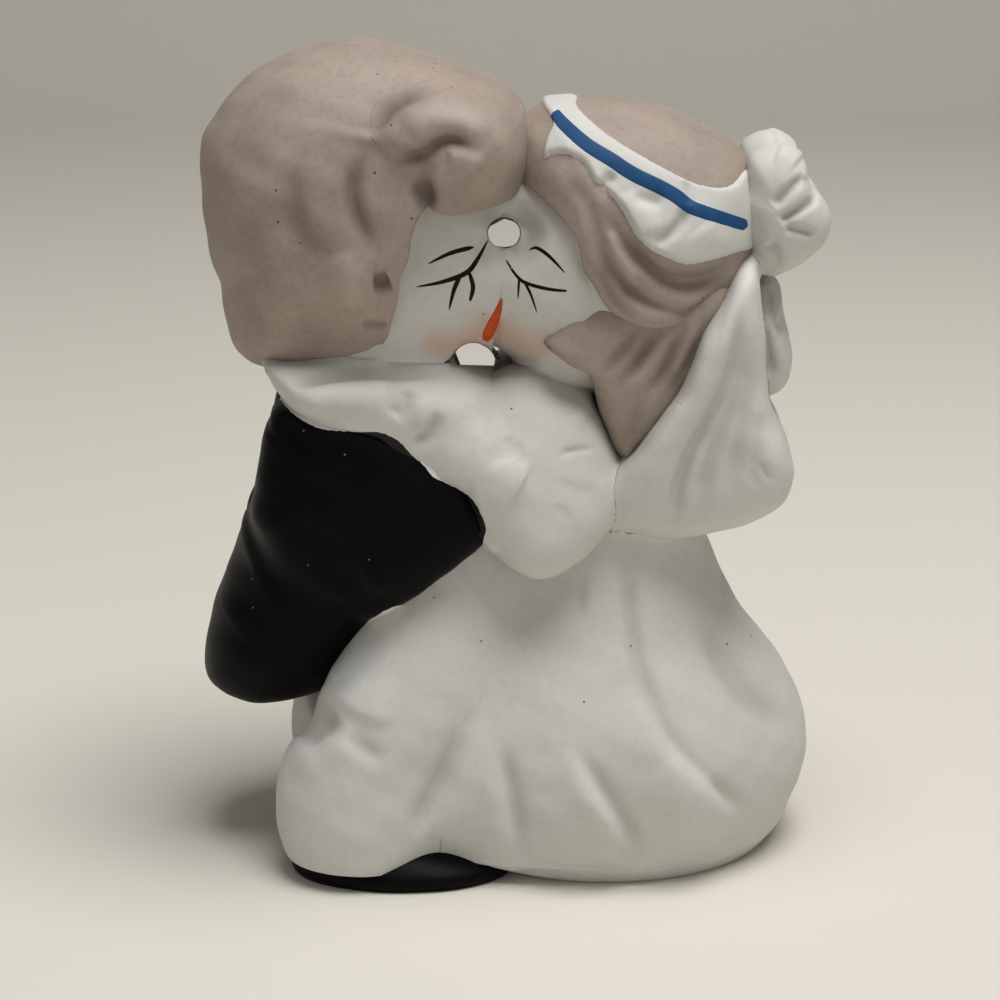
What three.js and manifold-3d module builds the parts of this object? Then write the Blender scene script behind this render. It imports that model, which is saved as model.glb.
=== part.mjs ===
// A wedding cake topper: a small bisque porcelain bride and groom, leaning together in a kiss.
// Millimetres, +Z up. The front of the figure faces -Y, the groom stands on the -X side.
// The figure is the same in front and behind, so arms, hands, legs and bow loops come in pairs.
import * as THREE from "three";
import { mergeVertices } from "three/addons/utils/BufferGeometryUtils.js";
import Module from "manifold-3d";

const MIDDLE_X = 0.29; // middle of the figure's width, where the origin lies

// Slip joints and the cast wall.
const CLEARANCE = 0.3; // seam left between two luted pieces
const WALL = 4; // wall of the hollow skirt
const SEAT = 4; // how far the hidden end of a body reaches into the piece it carries
const FOOT = 7; // thickness of the puddled foot of the skirt
const POUR_HOLE = 20; // diameter of the hole the slip is poured and drained through

// Heights above the cake, which the pieces share.
const CUFF_Z = 2.6; // lower edge of the trouser cuffs
const TAIL_Z = 20; // lowest point of the coat tail
const HIP_Z = 36; // where the coat is widest
const ELBOW_Z = 34; // lowest point of the coat sleeves
const VEIL_Z = 44.2; // lower edge of the veil
const WAIST_Z = 46; // top of the skirt, inside the bodice
const SHOULDER_Z = 65; // top of the sleeves
const BRIDE_CHIN_Z = 63;
const GROOM_CHIN_Z = 64.8;

// The kiss, where the two faces are pressed together on a plane of constant X.
const KISS_X = -1.3;
const KISS_PRESS = 3.6; // how far each face is flattened by the other
const NOSE_HOLE = 4.4; // diameter of the punched hole between the two brows
const CHIN_GAP = 6; // width of the gap left under the two chins

// Heads and hair: width along X, depth along Y, height along Z.
const GROOM_HEAD = { wide: 36, deep: 31, high: 34 };
const GROOM_HAIR = { back: 6.5, crown: 8.6, side: 4.5, bob: 0.4, brow: 2.8 };
const FRINGE = { wide: 18.8, high: 15, drop: 11.4 };
const BRIDE_HEAD = { wide: 34, deep: 30, high: 32 };
const BRIDE_HAIR = { back: 3.4, crown: 6.4, side: 2.6, nape: 1.5, brow: 3.2 };
const LONG_HAIR = { wide: 24.2, deep: 30.4, drop: 8.3 };

// The headband and its bow.
const BAND = { wide: 8.6, thick: 1.2, rise: 11, slope: 31 };
const KNOT = { wide: 7.5, deep: 8, high: 8.5 };
const LOOP = { wide: 11, deep: 12, high: 19.6, lift: 1.5 };
const BOW_TAIL = { wide: 6.2, deep: 16, high: 18, drop: 21.4 };
const VEIL = { wide: 24.6, deep: 34.8, high: 36.1 };

// Bodies, sleeves and hands.
const BODICE = { x: 11, wide: 19, deep: 25 };
const BRIDE_SLEEVE = { x: 4.6, wide: 17, deep: 19, high: 26, side: 11 };
const BRIDE_HAND = { wide: 8, deep: 8, high: 8 };
const COLLAR = { x: -16.7, wide: 30.8, deep: 36, high: 14.2 };
const COAT = { x: -20, wide: 23, deep: 25 };
const COAT_SLEEVE = { wide: 29.6, deep: 19, high: 29.4, side: 11.5, cuff: 2 };
const GROOM_HAND = { wide: 12.8, deep: 9.4, high: 12.8 };
const COAT_TAIL = { wide: 24, deep: 30, high: 26.4 };

// Legs, shoes and skirt.
const LEG = { x: -20.6, side: 15.2, wide: 21.6, deep: 19.6, high: 47.4, lean: 12.9, gather: 7.2 };
const SHOE = { long: 30, wide: 19, high: 5, heel: 2.2 };
const SKIRT = { x: 13, full: 55, deep: 48.5 };
const GROOVE = { deep: 1.2, wide: 2.2 }; // the folds drawn down the skirt with a tool
const DRAPE = { turn: 222, spread: 26, out: 3.6, high: 14 }; // where the hem is drawn out to the groom's feet

// How square a form is towards its front and back; a round one has 2.
const ROUND = 2;
const BLUNT = 2.4;
const FLAT = 4.5;

// Smoothness of the forms.
const FINE = { around: 22, rings: 5 };
const PLAIN = { around: 16, rings: 4 };
const SMALL = { around: 12, rings: 3 };
const FOLDED = { around: 52 };
const HAIRLINE = 9; // straight steps along the edge of the hair

const PAINT = {
  bisque: { color: 0xece8e0, roughness: 0.75 },
  hair: { color: 0x96847c, roughness: 0.8 },
  coat: { color: 0x101113, roughness: 0.4 },
};

const wasm = await Module();
wasm.setup();

// Outlines, counter-clockwise as seen from the front, in units of half the width and half the height.
const OVAL = [
  [1, 0], [0.71, 0.71], [0, 1], [-0.71, 0.71], [-1, 0], [-0.71, -0.71], [0, -1], [0.71, -0.71],
];
const BOB = [
  [1, 0.46], [0.86, 0.67], [0.49, 0.88], [-0.05, 1], [-0.61, 0.86], [-0.92, 0.58], [-1, 0.2],
  [-0.97, -0.12], [-0.88, -0.5], [-0.81, -0.8], [-0.62, -0.97], [-0.15, -1], [0.4, -0.95],
  [0.8, -0.6], [0.97, 0],
];
const CROWN = [
  [1, 0.1], [0.93, 0.5], [0.69, 0.74], [0.28, 0.91], [-0.1, 1], [-0.5, 0.94], [-0.85, 0.6],
  [-1, 0], [-0.85, -0.6], [-0.4, -0.95], [0.1, -1], [0.6, -0.8], [0.93, -0.35],
];
const LOCK = [
  [1, -0.26], [0.99, 0.23], [0.8, 0.61], [0.07, 0.95], [-0.31, 1], [-0.62, 0.88], [-1, 0.35],
  [-0.55, -0.32], [-0.35, -0.78], [-0.14, -1], [0.28, -0.91], [0.77, -0.68],
];
const TRESS = [
  [1, 1], [0.24, 0.94], [-0.3, 0.94], [-0.75, 0.59], [-1, 0.32], [-0.73, 0.08], [-0.48, -0.15],
  [-0.35, -0.62], [-0.14, -1], [0.32, -0.54], [0.72, 0.07], [0.91, 0.51],
];
const FALL = [
  [1, -0.55], [0.81, -0.13], [0.71, 0.21], [0.65, 0.8], [0.58, 1], [0.41, 0.98], [0.06, 0.63],
  [-0.15, 0.24], [-0.44, -0.06], [-0.77, -0.36], [-1, -0.64], [-1, -0.82], [-0.7, -0.96], [-0.27, -1],
  [0.45, -0.91], [0.94, -0.7],
];
const LOOP_FAN = [
  [0.96, -0.1], [0.72, 0.32], [0.4, 0.55], [0.33, 0.75], [0.02, 1], [-0.7, 0.85], [-1, 0.2],
  [-0.95, -0.3], [-0.65, -0.77], [-0.22, -1], [0.36, -0.88], [0.8, -0.55],
];
const PUFF_SLEEVE = [
  [1, -0.06], [0.9, 0.45], [0.65, 0.9], [-0.1, 1], [-0.85, 0.9], [-0.95, 0.14], [-1, -0.5],
  [-0.7, -0.68], [-0.47, -0.88], [0, -1], [0.38, -0.92], [0.82, -0.58],
];
const BENT_SLEEVE = [
  [0.98, -0.05], [0.68, 0.39], [0.2, 0.87], [-0.47, 1], [-0.9, 0.63], [-1, 0.02], [-0.77, -0.46],
  [-0.38, -0.8], [0.11, -1], [0.65, -0.66], [0.93, -0.35],
];
const ROLL_COLLAR = [
  [1, 0.16], [0.83, 0.68], [0.5, 1], [0, 0.95], [-0.6, 0.9], [-0.92, 0.7], [-0.98, 0.35],
  [-0.8, -0.05], [-0.5, -0.35], [-0.06, -0.45], [0.25, -0.75], [0.44, -1], [0.74, -0.61],
];
const MITTEN = [
  [1, 0.1], [0.76, 0.68], [0.28, 0.84], [-0.5, 1], [-1, 0.38], [-0.8, -0.13], [-0.3, -0.45],
  [-0.05, -1], [0.37, -0.86], [0.9, -0.37],
];
const TAIL_LOBE = [
  [1, -0.08], [0.95, 0.37], [0.4, 0.98], [-0.25, 1], [-0.65, 0.58], [-0.93, 0.05], [-1, -0.43],
  [-0.81, -0.87], [-0.3, -1], [0.44, -0.84], [0.78, -0.43],
];

// Turns a closed geometry into a solid that can be cut and joined.
function solid(geometry) {
  const vertProperties = new Float32Array(geometry.getAttribute("position").array);
  const triVerts = new Uint32Array(geometry.index.array);
  return new wasm.Manifold(new wasm.Mesh({ numProp: 3, vertProperties, triVerts }));
}

// Closes a row of equal rings, counter-clockwise about the way they run, with a point at each end.
function skin(start, rings, end) {
  const count = rings[0].length;
  const points = [start, ...rings.flat(), end];
  const last = points.length - 1;
  const at = (ring, k) => 1 + ring * count + (k % count);
  const index = [];
  for (let k = 0; k < count; k += 1) {
    index.push(0, at(0, k + 1), at(0, k));
    for (let ring = 0; ring + 1 < rings.length; ring += 1) {
      index.push(at(ring, k), at(ring, k + 1), at(ring + 1, k));
      index.push(at(ring, k + 1), at(ring + 1, k + 1), at(ring + 1, k));
    }
    index.push(last, at(rings.length - 1, k), at(rings.length - 1, k + 1));
  }
  const geometry = new THREE.BufferGeometry().setFromPoints(points);
  geometry.setIndex(index);
  return solid(geometry);
}

// A pillow: an outline in the XZ plane, rounded off towards a front and a back pole.
function pillow({ at, size, outline = OVAL, square = ROUND, mesh = PLAIN }) {
  return (grow) => {
    const [x, y, z] = at;
    const [wide, deep, high] = size.map((length) => length / 2 + grow);
    const corners = outline.map(([u, v]) => new THREE.Vector3(u * wide, 0, v * high));
    const edge = new THREE.CatmullRomCurve3(corners, true).getSpacedPoints(mesh.around).slice(0, -1);
    const rings = [];
    for (let k = 1; k < 2 * mesh.rings; k += 1) {
      const turn = (Math.PI / 2) * (1 - k / mesh.rings);
      const reach = Math.cos(turn) ** (2 / square);
      const depth = Math.sign(turn) * Math.abs(Math.sin(turn)) ** (2 / square) * deep;
      rings.push(edge.map((p) => new THREE.Vector3(x + p.x * reach, y + depth, z + p.z * reach)));
    }
    return skin(new THREE.Vector3(x, y + deep, z), rings, new THREE.Vector3(x, y - deep, z));
  };
}

// A stack of level oval sections from the bottom up; relief(turn, z) lifts or sinks its sides.
function stack({ sections, relief = () => 0, mesh = PLAIN, steps = 6 }) {
  return (grow) => {
    const centres = new THREE.CatmullRomCurve3(
      sections.map((s) => new THREE.Vector3(s.x, s.y ?? 0, s.z)),
    );
    const ovals = new THREE.CatmullRomCurve3(
      sections.map((s) => new THREE.Vector3(s.wide, s.deep, 0)),
    );
    const rings = [];
    for (let step = 0; step <= steps; step += 1) {
      const middle = centres.getPoint(step / steps);
      const oval = ovals.getPoint(step / steps);
      middle.z += step === 0 ? -grow : 0;
      middle.z += step === steps ? grow : 0;
      rings.push(
        Array.from({ length: mesh.around }, (_, k) => {
          const turn = (2 * Math.PI * k) / mesh.around;
          const lift = grow + relief(turn, middle.z);
          const x = middle.x + (oval.x / 2 + lift) * Math.cos(turn);
          const y = middle.y + (oval.y / 2 + lift) * Math.sin(turn);
          return new THREE.Vector3(x, y, middle.z);
        }),
      );
    }
    const level = (t, z) => centres.getPoint(t).setZ(z);
    return skin(level(0, rings[0][0].z), rings, level(1, rings[steps][0].z));
  };
}

// Joins the shared corners of a stock geometry and turns it into a solid.
function joined(geometry) {
  geometry.deleteAttribute("normal");
  geometry.deleteAttribute("uv");
  return solid(mergeVertices(geometry));
}

// A block standing on an outline in the XZ plane, reaching equally far to both sides of Y = 0.
function block(outline, deep) {
  const shape = new THREE.Shape(outline.map(([x, z]) => new THREE.Vector2(x, z)));
  const geometry = new THREE.ExtrudeGeometry(shape, { depth: deep, bevelEnabled: false });
  return joined(geometry.rotateX(Math.PI / 2).translate(0, deep / 2, 0));
}

// A round hole along Y, or along Z when upright.
function hole(diameter, length, [x, y, z], upright = false) {
  const geometry = new THREE.CylinderGeometry(diameter / 2, diameter / 2, length, PLAIN.around);
  if (upright) geometry.rotateX(Math.PI / 2);
  return joined(geometry.translate(x, y, z));
}

const SIDES = { front: -1, back: 1 };
const THROUGH = 2 * SKIRT.deep; // longer than the figure is deep

// The two heads, each reaching past the kiss by the press, with its chin at its own height.
const groom = { x: KISS_X + KISS_PRESS - GROOM_HEAD.wide / 2, z: GROOM_CHIN_Z + GROOM_HEAD.high / 2 };
const bride = { x: KISS_X - KISS_PRESS + BRIDE_HEAD.wide / 2, z: BRIDE_CHIN_Z + BRIDE_HEAD.high / 2 };

const pieces = [];
const piece = (name, paint, form, cuts = []) => pieces.push({ name, paint, form, cuts });

// Points of an outline drawn in half widths and half heights of a head.
const onHead = (centre, head, outline) =>
  outline.map(([u, v]) => [centre.x + (u * head.wide) / 2, centre.z + (v * head.high) / 2]);

function heads() {
  const far = GROOM_HEAD.wide + BRIDE_HEAD.wide;
  const low = Math.min(GROOM_CHIN_Z, BRIDE_CHIN_Z) - far;
  const half = (near, away) => [[near, low], [away, low], [away, low + 3 * far], [near, low + 3 * far]];
  const right = block(half(KISS_X - CLEARANCE / 2, KISS_X + far), THROUGH);
  const left = block(half(KISS_X - far, KISS_X + CLEARANCE / 2), THROUGH);
  const oval = (centre, head) =>
    pillow({ at: [centre.x, 0, centre.z], size: [head.wide, head.deep, head.high], mesh: FINE });
  piece("groom_head", PAINT.bisque, oval(groom, GROOM_HEAD), [right]);
  piece("bride_head", PAINT.bisque, oval(bride, BRIDE_HEAD), [left]);
}

// A hairline drawn as a smooth curve through a few points.
function hairline(line) {
  const curve = new THREE.SplineCurve(line.map(([u, v]) => new THREE.Vector2(u, v)));
  return curve.getPoints(HAIRLINE).map((point) => point.toArray());
}

// A head of hair reaches from x0 to x1 and z0 to z1 and leaves a window for the face.
function cap([x0, x1], [z0, z1], deep, outline) {
  return pillow({
    at: [(x0 + x1) / 2, 0, (z0 + z1) / 2],
    size: [x1 - x0, deep, z1 - z0],
    outline,
    mesh: FINE,
  });
}

const groomHairX = [groom.x - GROOM_HEAD.wide / 2 - GROOM_HAIR.back, KISS_X + GROOM_HAIR.brow];
const groomHairZ = [GROOM_CHIN_Z - GROOM_HAIR.bob, groom.z + GROOM_HEAD.high / 2 + GROOM_HAIR.crown];
const groomHairDeep = GROOM_HEAD.deep + 2 * GROOM_HAIR.side;
const brideHairX = [KISS_X - BRIDE_HAIR.brow, bride.x + BRIDE_HEAD.wide / 2 + BRIDE_HAIR.back];
const brideHairZ = [BRIDE_CHIN_Z - BRIDE_HAIR.nape, bride.z + BRIDE_HEAD.high / 2 + BRIDE_HAIR.crown];
const brideHairForm = cap(brideHairX, brideHairZ, BRIDE_HEAD.deep + 2 * BRIDE_HAIR.side, CROWN);

function hair() {
  const fringe = pillow({
    at: [groomHairX[1] - FRINGE.wide / 2, 0, groomHairZ[1] - FRINGE.drop],
    size: [FRINGE.wide, groomHairDeep, FRINGE.high],
    outline: LOCK,
    square: FLAT,
  });
  piece("groom_fringe", PAINT.hair, fringe);
  const groomLine = hairline([
    [1, 0.42], [0.62, 0.4], [0.29, 0.24], [0.1, -0.39], [-0.04, -0.9], [-0.1, -1.3],
  ]);
  const groomFace = onHead(groom, GROOM_HEAD, [...groomLine, [1.6, -1.3], [1.6, 0.42]]);
  const groomForm = cap(groomHairX, groomHairZ, groomHairDeep, BOB);
  piece("groom_hair", PAINT.hair, groomForm, [block(groomFace, THROUGH)]);
  const brideLine = hairline([
    [0.02, -1.3], [-0.04, -0.7], [-0.06, -0.33], [-0.21, 0.06], [-0.34, 0.46], [-0.6, 0.79], [-1.1, 0.85],
  ]);
  const brideFace = onHead(bride, BRIDE_HEAD, [...brideLine, [-1.6, 0.85], [-1.6, -1.3]]);
  piece("bride_hair", PAINT.hair, brideHairForm, [block(brideFace, THROUGH)]);
}

// The band lies in a plane across the head that slopes down to the nape, where its bow is tied.
const slope = THREE.MathUtils.degToRad(BAND.slope);
const hairMiddle = { x: (brideHairX[0] + brideHairX[1]) / 2, z: (brideHairZ[0] + brideHairZ[1]) / 2 };
const band = {
  x: hairMiddle.x + BAND.rise * Math.sin(slope),
  z: hairMiddle.z + BAND.rise * Math.cos(slope),
};
const knot = { x: brideHairX[1] + KNOT.wide / 8, z: 0 };
knot.z = band.z - (knot.x - band.x) * Math.tan(slope);

function headdress() {
  const ribbon = (grow) => {
    const slab = new THREE.BoxGeometry(THROUGH, THROUGH, BAND.wide + 2 * grow);
    const ring = joined(slab.rotateY(slope).translate(band.x, 0, band.z));
    return brideHairForm(grow + CLEARANCE + BAND.thick).intersect(ring);
  };
  piece("headband", PAINT.bisque, ribbon);
  const tie = pillow({ at: [knot.x, 0, knot.z], size: [KNOT.wide, KNOT.deep, KNOT.high], mesh: SMALL });
  piece("bow_knot", PAINT.bisque, tie);
  for (const [side, sign] of Object.entries(SIDES)) {
    const loop = pillow({
      at: [knot.x + LOOP.wide / 4, (sign * (LOOP.deep + CLEARANCE)) / 2, knot.z + LOOP.lift],
      size: [LOOP.wide, LOOP.deep, LOOP.high],
      outline: LOOP_FAN,
    });
    piece(`bow_loop_${side}`, PAINT.bisque, loop);
  }
}

function arms() {
  const cuffY = BRIDE_SLEEVE.side + BRIDE_SLEEVE.deep / 2;
  for (const [side, sign] of Object.entries(SIDES)) {
    const groomHand = pillow({
      at: [
        KISS_X - GROOM_HAND.wide / 5,
        sign * (cuffY - GROOM_HAND.deep * 0.6),
        SHOULDER_Z - GROOM_HAND.high * 0.7,
      ],
      size: [GROOM_HAND.wide, GROOM_HAND.deep, GROOM_HAND.high],
      outline: MITTEN,
      mesh: SMALL,
    });
    piece(`groom_hand_${side}`, PAINT.bisque, groomHand);
    const brideHand = pillow({
      at: [
        COLLAR.x + COLLAR.wide / 6,
        (sign * (COLLAR.deep - BRIDE_HAND.deep)) / 2,
        SHOULDER_Z - BRIDE_HAND.high * 0.6,
      ],
      size: [BRIDE_HAND.wide, BRIDE_HAND.deep, BRIDE_HAND.high],
      mesh: SMALL,
    });
    piece(`bride_hand_${side}`, PAINT.bisque, brideHand);
    const brideSleeve = pillow({
      at: [BRIDE_SLEEVE.x, sign * BRIDE_SLEEVE.side, SHOULDER_Z - BRIDE_SLEEVE.high / 2],
      size: [BRIDE_SLEEVE.wide, BRIDE_SLEEVE.deep, BRIDE_SLEEVE.high],
      outline: PUFF_SLEEVE,
    });
    piece(`bride_sleeve_${side}`, PAINT.bisque, brideSleeve);
  }
}

function coat() {
  const collar = pillow({
    at: [COLLAR.x, 0, GROOM_CHIN_Z - COLLAR.high / 4],
    size: [COLLAR.wide, COLLAR.deep, COLLAR.high],
    outline: ROLL_COLLAR,
    square: BLUNT,
  });
  piece("groom_collar", PAINT.bisque, collar);
  for (const [side, sign] of Object.entries(SIDES)) {
    const sleeve = pillow({
      at: [
        KISS_X - COAT_SLEEVE.cuff - COAT_SLEEVE.wide / 2,
        sign * COAT_SLEEVE.side,
        ELBOW_Z + COAT_SLEEVE.high / 2,
      ],
      size: [COAT_SLEEVE.wide, COAT_SLEEVE.deep, COAT_SLEEVE.high],
      outline: BENT_SLEEVE,
    });
    piece(`coat_sleeve_${side}`, PAINT.coat, sleeve);
  }
  const tail = pillow({
    at: [COAT.x - COAT_TAIL.wide * 0.37, 0, TAIL_Z + COAT_TAIL.high / 2],
    size: [COAT_TAIL.wide, COAT_TAIL.deep, COAT_TAIL.high],
    outline: TAIL_LOBE,
    mesh: FINE,
  });
  piece("coat_tail", PAINT.coat, tail);
  const neck = (COAT.x + groom.x) / 2;
  const body = [
    { x: COAT.x, z: TAIL_Z + 2 * SEAT, wide: COAT.wide * 0.8, deep: COAT.deep * 0.8 },
    { x: COAT.x, z: HIP_Z, wide: COAT.wide, deep: COAT.deep },
    { x: COAT.x, z: (HIP_Z + GROOM_CHIN_Z) / 2, wide: COAT.wide, deep: COAT.deep },
    { x: neck, z: GROOM_CHIN_Z - SEAT, wide: COAT.wide * 0.7, deep: COAT.deep * 0.7 },
    { x: neck, z: GROOM_CHIN_Z + SEAT, wide: COAT.wide * 0.5, deep: COAT.deep * 0.5 },
  ];
  piece("coat_body", PAINT.coat, stack({ sections: body, mesh: SMALL }));
}

function veil() {
  const tip = BRIDE_CHIN_Z - LONG_HAIR.drop;
  const top = BRIDE_CHIN_Z + BRIDE_HEAD.high * 0.52;
  const longHair = pillow({
    at: [bride.x + BRIDE_HEAD.wide * 0.12, 0, (tip + top) / 2],
    size: [LONG_HAIR.wide, LONG_HAIR.deep, top - tip],
    outline: TRESS,
    square: FLAT,
  });
  piece("bride_long_hair", PAINT.hair, longHair);
  const bowTail = pillow({
    at: [brideHairX[1] + BOW_TAIL.wide / 4, 0, knot.z - BOW_TAIL.drop + BOW_TAIL.high / 2],
    size: [BOW_TAIL.wide, BOW_TAIL.deep, BOW_TAIL.high],
    mesh: SMALL,
  });
  piece("bow_tail", PAINT.bisque, bowTail);
  const fall = pillow({
    at: [brideHairX[1] - VEIL.wide * 0.32, 0, VEIL_Z + VEIL.high / 2],
    size: [VEIL.wide, VEIL.deep, VEIL.high],
    outline: FALL,
    square: FLAT,
    mesh: FINE,
  });
  piece("veil", PAINT.bisque, fall);
}

function bodice() {
  const neck = (BODICE.x + bride.x) / 2;
  const sections = [
    { x: BODICE.x, z: WAIST_Z - 1.5 * SEAT, wide: BODICE.wide, deep: BODICE.deep * 0.9 },
    { x: BODICE.x, z: (WAIST_Z + SHOULDER_Z) / 2, wide: BODICE.wide, deep: BODICE.deep },
    { x: neck, z: SHOULDER_Z - SEAT, wide: BODICE.wide * 0.8, deep: BODICE.deep * 0.8 },
    { x: neck, z: BRIDE_CHIN_Z + SEAT, wide: BODICE.wide * 0.55, deep: BODICE.deep * 0.5 },
  ];
  piece("bride_bodice", PAINT.bisque, stack({ sections, mesh: SMALL }));
}

// A leg's sections from the cuff up: shares of its height, of its lean towards the bride and of the way in
// to the middle, and its width and depth there.
const LEG_CURVE = [
  [0, 0, 0, 0.85, 0.92], [0.035, 0, 0, 0.91, 0.97], [0.135, 0.02, 0.02, 0.99, 1],
  [0.26, 0.1, 0.11, 1, 0.97], [0.41, 0.38, 0.28, 0.94, 0.94], [0.56, 0.63, 0.47, 0.91, 0.92],
  [0.75, 0.88, 0.73, 0.87, 0.88], [1, 1, 1, 0.8, 0.78],
];

function legs() {
  for (const [side, sign] of Object.entries(SIDES)) {
    const sections = LEG_CURVE.map(([rise, lean, gather, wide, deep]) => ({
      x: LEG.x + LEG.lean * lean,
      y: sign * (LEG.side - LEG.gather * gather),
      z: CUFF_Z + LEG.high * rise,
      wide: LEG.wide * wide,
      deep: LEG.deep * deep,
    }));
    piece(`trouser_leg_${side}`, PAINT.bisque, stack({ sections, steps: 8 }));
    const at = { x: LEG.x - LEG.wide / 2 + SHOE.heel + SHOE.long / 2, y: sign * LEG.side };
    const shoe = [
      { ...at, z: 0, wide: SHOE.long * 0.95, deep: SHOE.wide * 0.92 },
      { ...at, z: SHOE.high * 0.35, wide: SHOE.long, deep: SHOE.wide },
      { ...at, z: SHOE.high * 0.7, wide: SHOE.long * 0.97, deep: SHOE.wide * 0.95 },
      { ...at, z: SHOE.high, wide: SHOE.long * 0.8, deep: SHOE.wide * 0.7 },
    ];
    piece(`shoe_${side}`, PAINT.coat, stack({ sections: shoe, steps: 5 }));
  }
}

// The skirt's section at a share of the way up from the cake to the waist.
const SKIRT_CURVE = [
  [0, 0.82], [0.07, 0.9], [0.2, 0.98], [0.31, 1], [0.42, 0.96], [0.55, 0.84], [0.7, 0.65],
  [0.89, 0.5], [1, 0.44],
];

// The skirt's folds, each from a high end to a low one: degrees around the front half, and a height.
const SKIRT_FOLDS = [
  { high: [278, 43], low: [311, 9] },
  { high: [314, 36], low: [339, 18] },
  { high: [254, 22], low: [278, 3] },
  { high: [233, 19], low: [239, 3] },
  { high: [226, 23], low: [210, 3] },
];

// How far the front half of the skirt is lifted by its drape and sunk by its folds; the back mirrors it.
function skirtRelief(turn, z) {
  const degrees = THREE.MathUtils.radToDeg(turn < Math.PI ? 2 * Math.PI - turn : turn);
  const bell = (off, spread) => Math.exp(-((off / spread) ** 2));
  const around = THREE.MathUtils.degToRad(SKIRT.full / 2); // millimetres in a degree
  return SKIRT_FOLDS.reduce(
    (lift, { high, low }) => {
      const share = THREE.MathUtils.clamp((high[1] - z) / (high[1] - low[1]), 0, 1);
      const off = degrees - THREE.MathUtils.lerp(high[0], low[0], share);
      return lift - GROOVE.deep * Math.sin(Math.PI * share) ** 0.5 * bell(off * around, GROOVE.wide);
    },
    DRAPE.out * bell(degrees - DRAPE.turn, DRAPE.spread) * bell(z, DRAPE.high),
  );
}

function skirt() {
  const section = ([rise, swell]) => ({
    x: SKIRT.x,
    z: WAIST_Z * rise,
    wide: SKIRT.full * swell,
    deep: SKIRT.deep * swell ** 0.8,
  });
  const outside = stack({
    sections: SKIRT_CURVE.map(section),
    relief: skirtRelief,
    mesh: FOLDED,
    steps: SKIRT_CURVE.length + 1,
  });
  const inside = SKIRT_CURVE.slice(2, -1).map(section).map((s) => ({
    x: s.x,
    z: FOOT + (s.z * (WAIST_Z - FOOT)) / WAIST_Z - WALL,
    wide: s.wide - 2 * WALL,
    deep: s.deep - 2 * WALL,
  }));
  inside[0].z = FOOT;
  const hollow = stack({ sections: inside })(0);
  const drain = hole(POUR_HOLE, 4 * FOOT, [SKIRT.x, 0, 0], true);
  piece("skirt", PAINT.bisque, outside, [hollow.add(drain)]);
}

heads();
hair();
headdress();
arms();
coat();
veil();
bodice();
legs();
skirt();

// The hole punched between the brows and the gap under the chins go through everything in their way.
const punched = [
  hole(NOSE_HOLE, THROUGH, [KISS_X, 0, (groom.z + bride.z) / 2 + NOSE_HOLE * 0.65]),
  block(
    [[-0.5, 0], [0.5, 0], [0.4, 0.3], [0, 0.45], [-0.4, 0.3]].map(([u, v]) => [
      KISS_X - CHIN_GAP / 2 + u * CHIN_GAP,
      GROOM_CHIN_Z + (v + 0.13) * CHIN_GAP,
    ]),
    THROUGH,
  ),
];

// Each piece is seated against the ones before it with the clearance of a slip joint.
const topper = new THREE.Group();
pieces.forEach(({ name, paint, form, cuts }, order) => {
  const seats = pieces.slice(0, order).map((earlier) => earlier.form(CLEARANCE));
  const cut = [...seats, ...cuts, ...punched].reduce((body, tool) => body.subtract(tool), form(0));
  const body = cut.decompose().reduce((a, b) => (a.volume() > b.volume() ? a : b));
  const { vertProperties, triVerts } = body.getMesh();
  const geometry = new THREE.BufferGeometry();
  geometry.setAttribute("position", new THREE.BufferAttribute(vertProperties, 3));
  geometry.setIndex(new THREE.BufferAttribute(triVerts, 1));
  geometry.computeVertexNormals();
  const mesh = new THREE.Mesh(geometry, new THREE.MeshStandardMaterial(paint));
  mesh.name = name;
  topper.add(mesh);
});

// The origin is under the middle of the figure, on the cake.
topper.position.set(-MIDDLE_X, 0, 0);

export default topper;
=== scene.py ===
"""Looks of a bisque porcelain wedding cake topper: a bride and a groom leaning together in a kiss.

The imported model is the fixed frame. Every clay piece of the figure gets a finely worked surface that stands
for its solid, and the painted lines are thin skins of enamel laid on those surfaces. Lengths here are in
millimetres in the frame's own axes (+Z up, the front faces -Y) and become metres when a mesh is made. A trace
is a line followed on the 1000 x 1000 photograph, in pixels.
"""

from __future__ import annotations

import logging
import math
from dataclasses import dataclass, field
from enum import Enum
from functools import cached_property, partial
from itertools import combinations

import bpy
import numpy as np
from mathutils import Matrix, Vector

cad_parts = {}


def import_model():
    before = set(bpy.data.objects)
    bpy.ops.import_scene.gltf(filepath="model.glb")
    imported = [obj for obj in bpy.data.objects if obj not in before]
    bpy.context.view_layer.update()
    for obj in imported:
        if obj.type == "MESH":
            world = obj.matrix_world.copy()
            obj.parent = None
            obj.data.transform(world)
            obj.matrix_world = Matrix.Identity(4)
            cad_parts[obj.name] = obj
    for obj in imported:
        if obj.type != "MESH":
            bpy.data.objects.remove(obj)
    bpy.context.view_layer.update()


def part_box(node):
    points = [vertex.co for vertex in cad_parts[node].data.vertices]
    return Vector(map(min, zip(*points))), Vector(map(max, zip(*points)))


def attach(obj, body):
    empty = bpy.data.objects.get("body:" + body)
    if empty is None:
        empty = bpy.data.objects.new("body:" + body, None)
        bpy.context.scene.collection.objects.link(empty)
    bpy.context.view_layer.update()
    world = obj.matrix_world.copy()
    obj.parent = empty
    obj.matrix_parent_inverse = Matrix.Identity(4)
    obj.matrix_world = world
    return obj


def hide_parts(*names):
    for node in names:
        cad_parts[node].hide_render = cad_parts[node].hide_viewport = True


Array = np.ndarray
Trace = tuple[tuple[float, float], ...]

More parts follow.
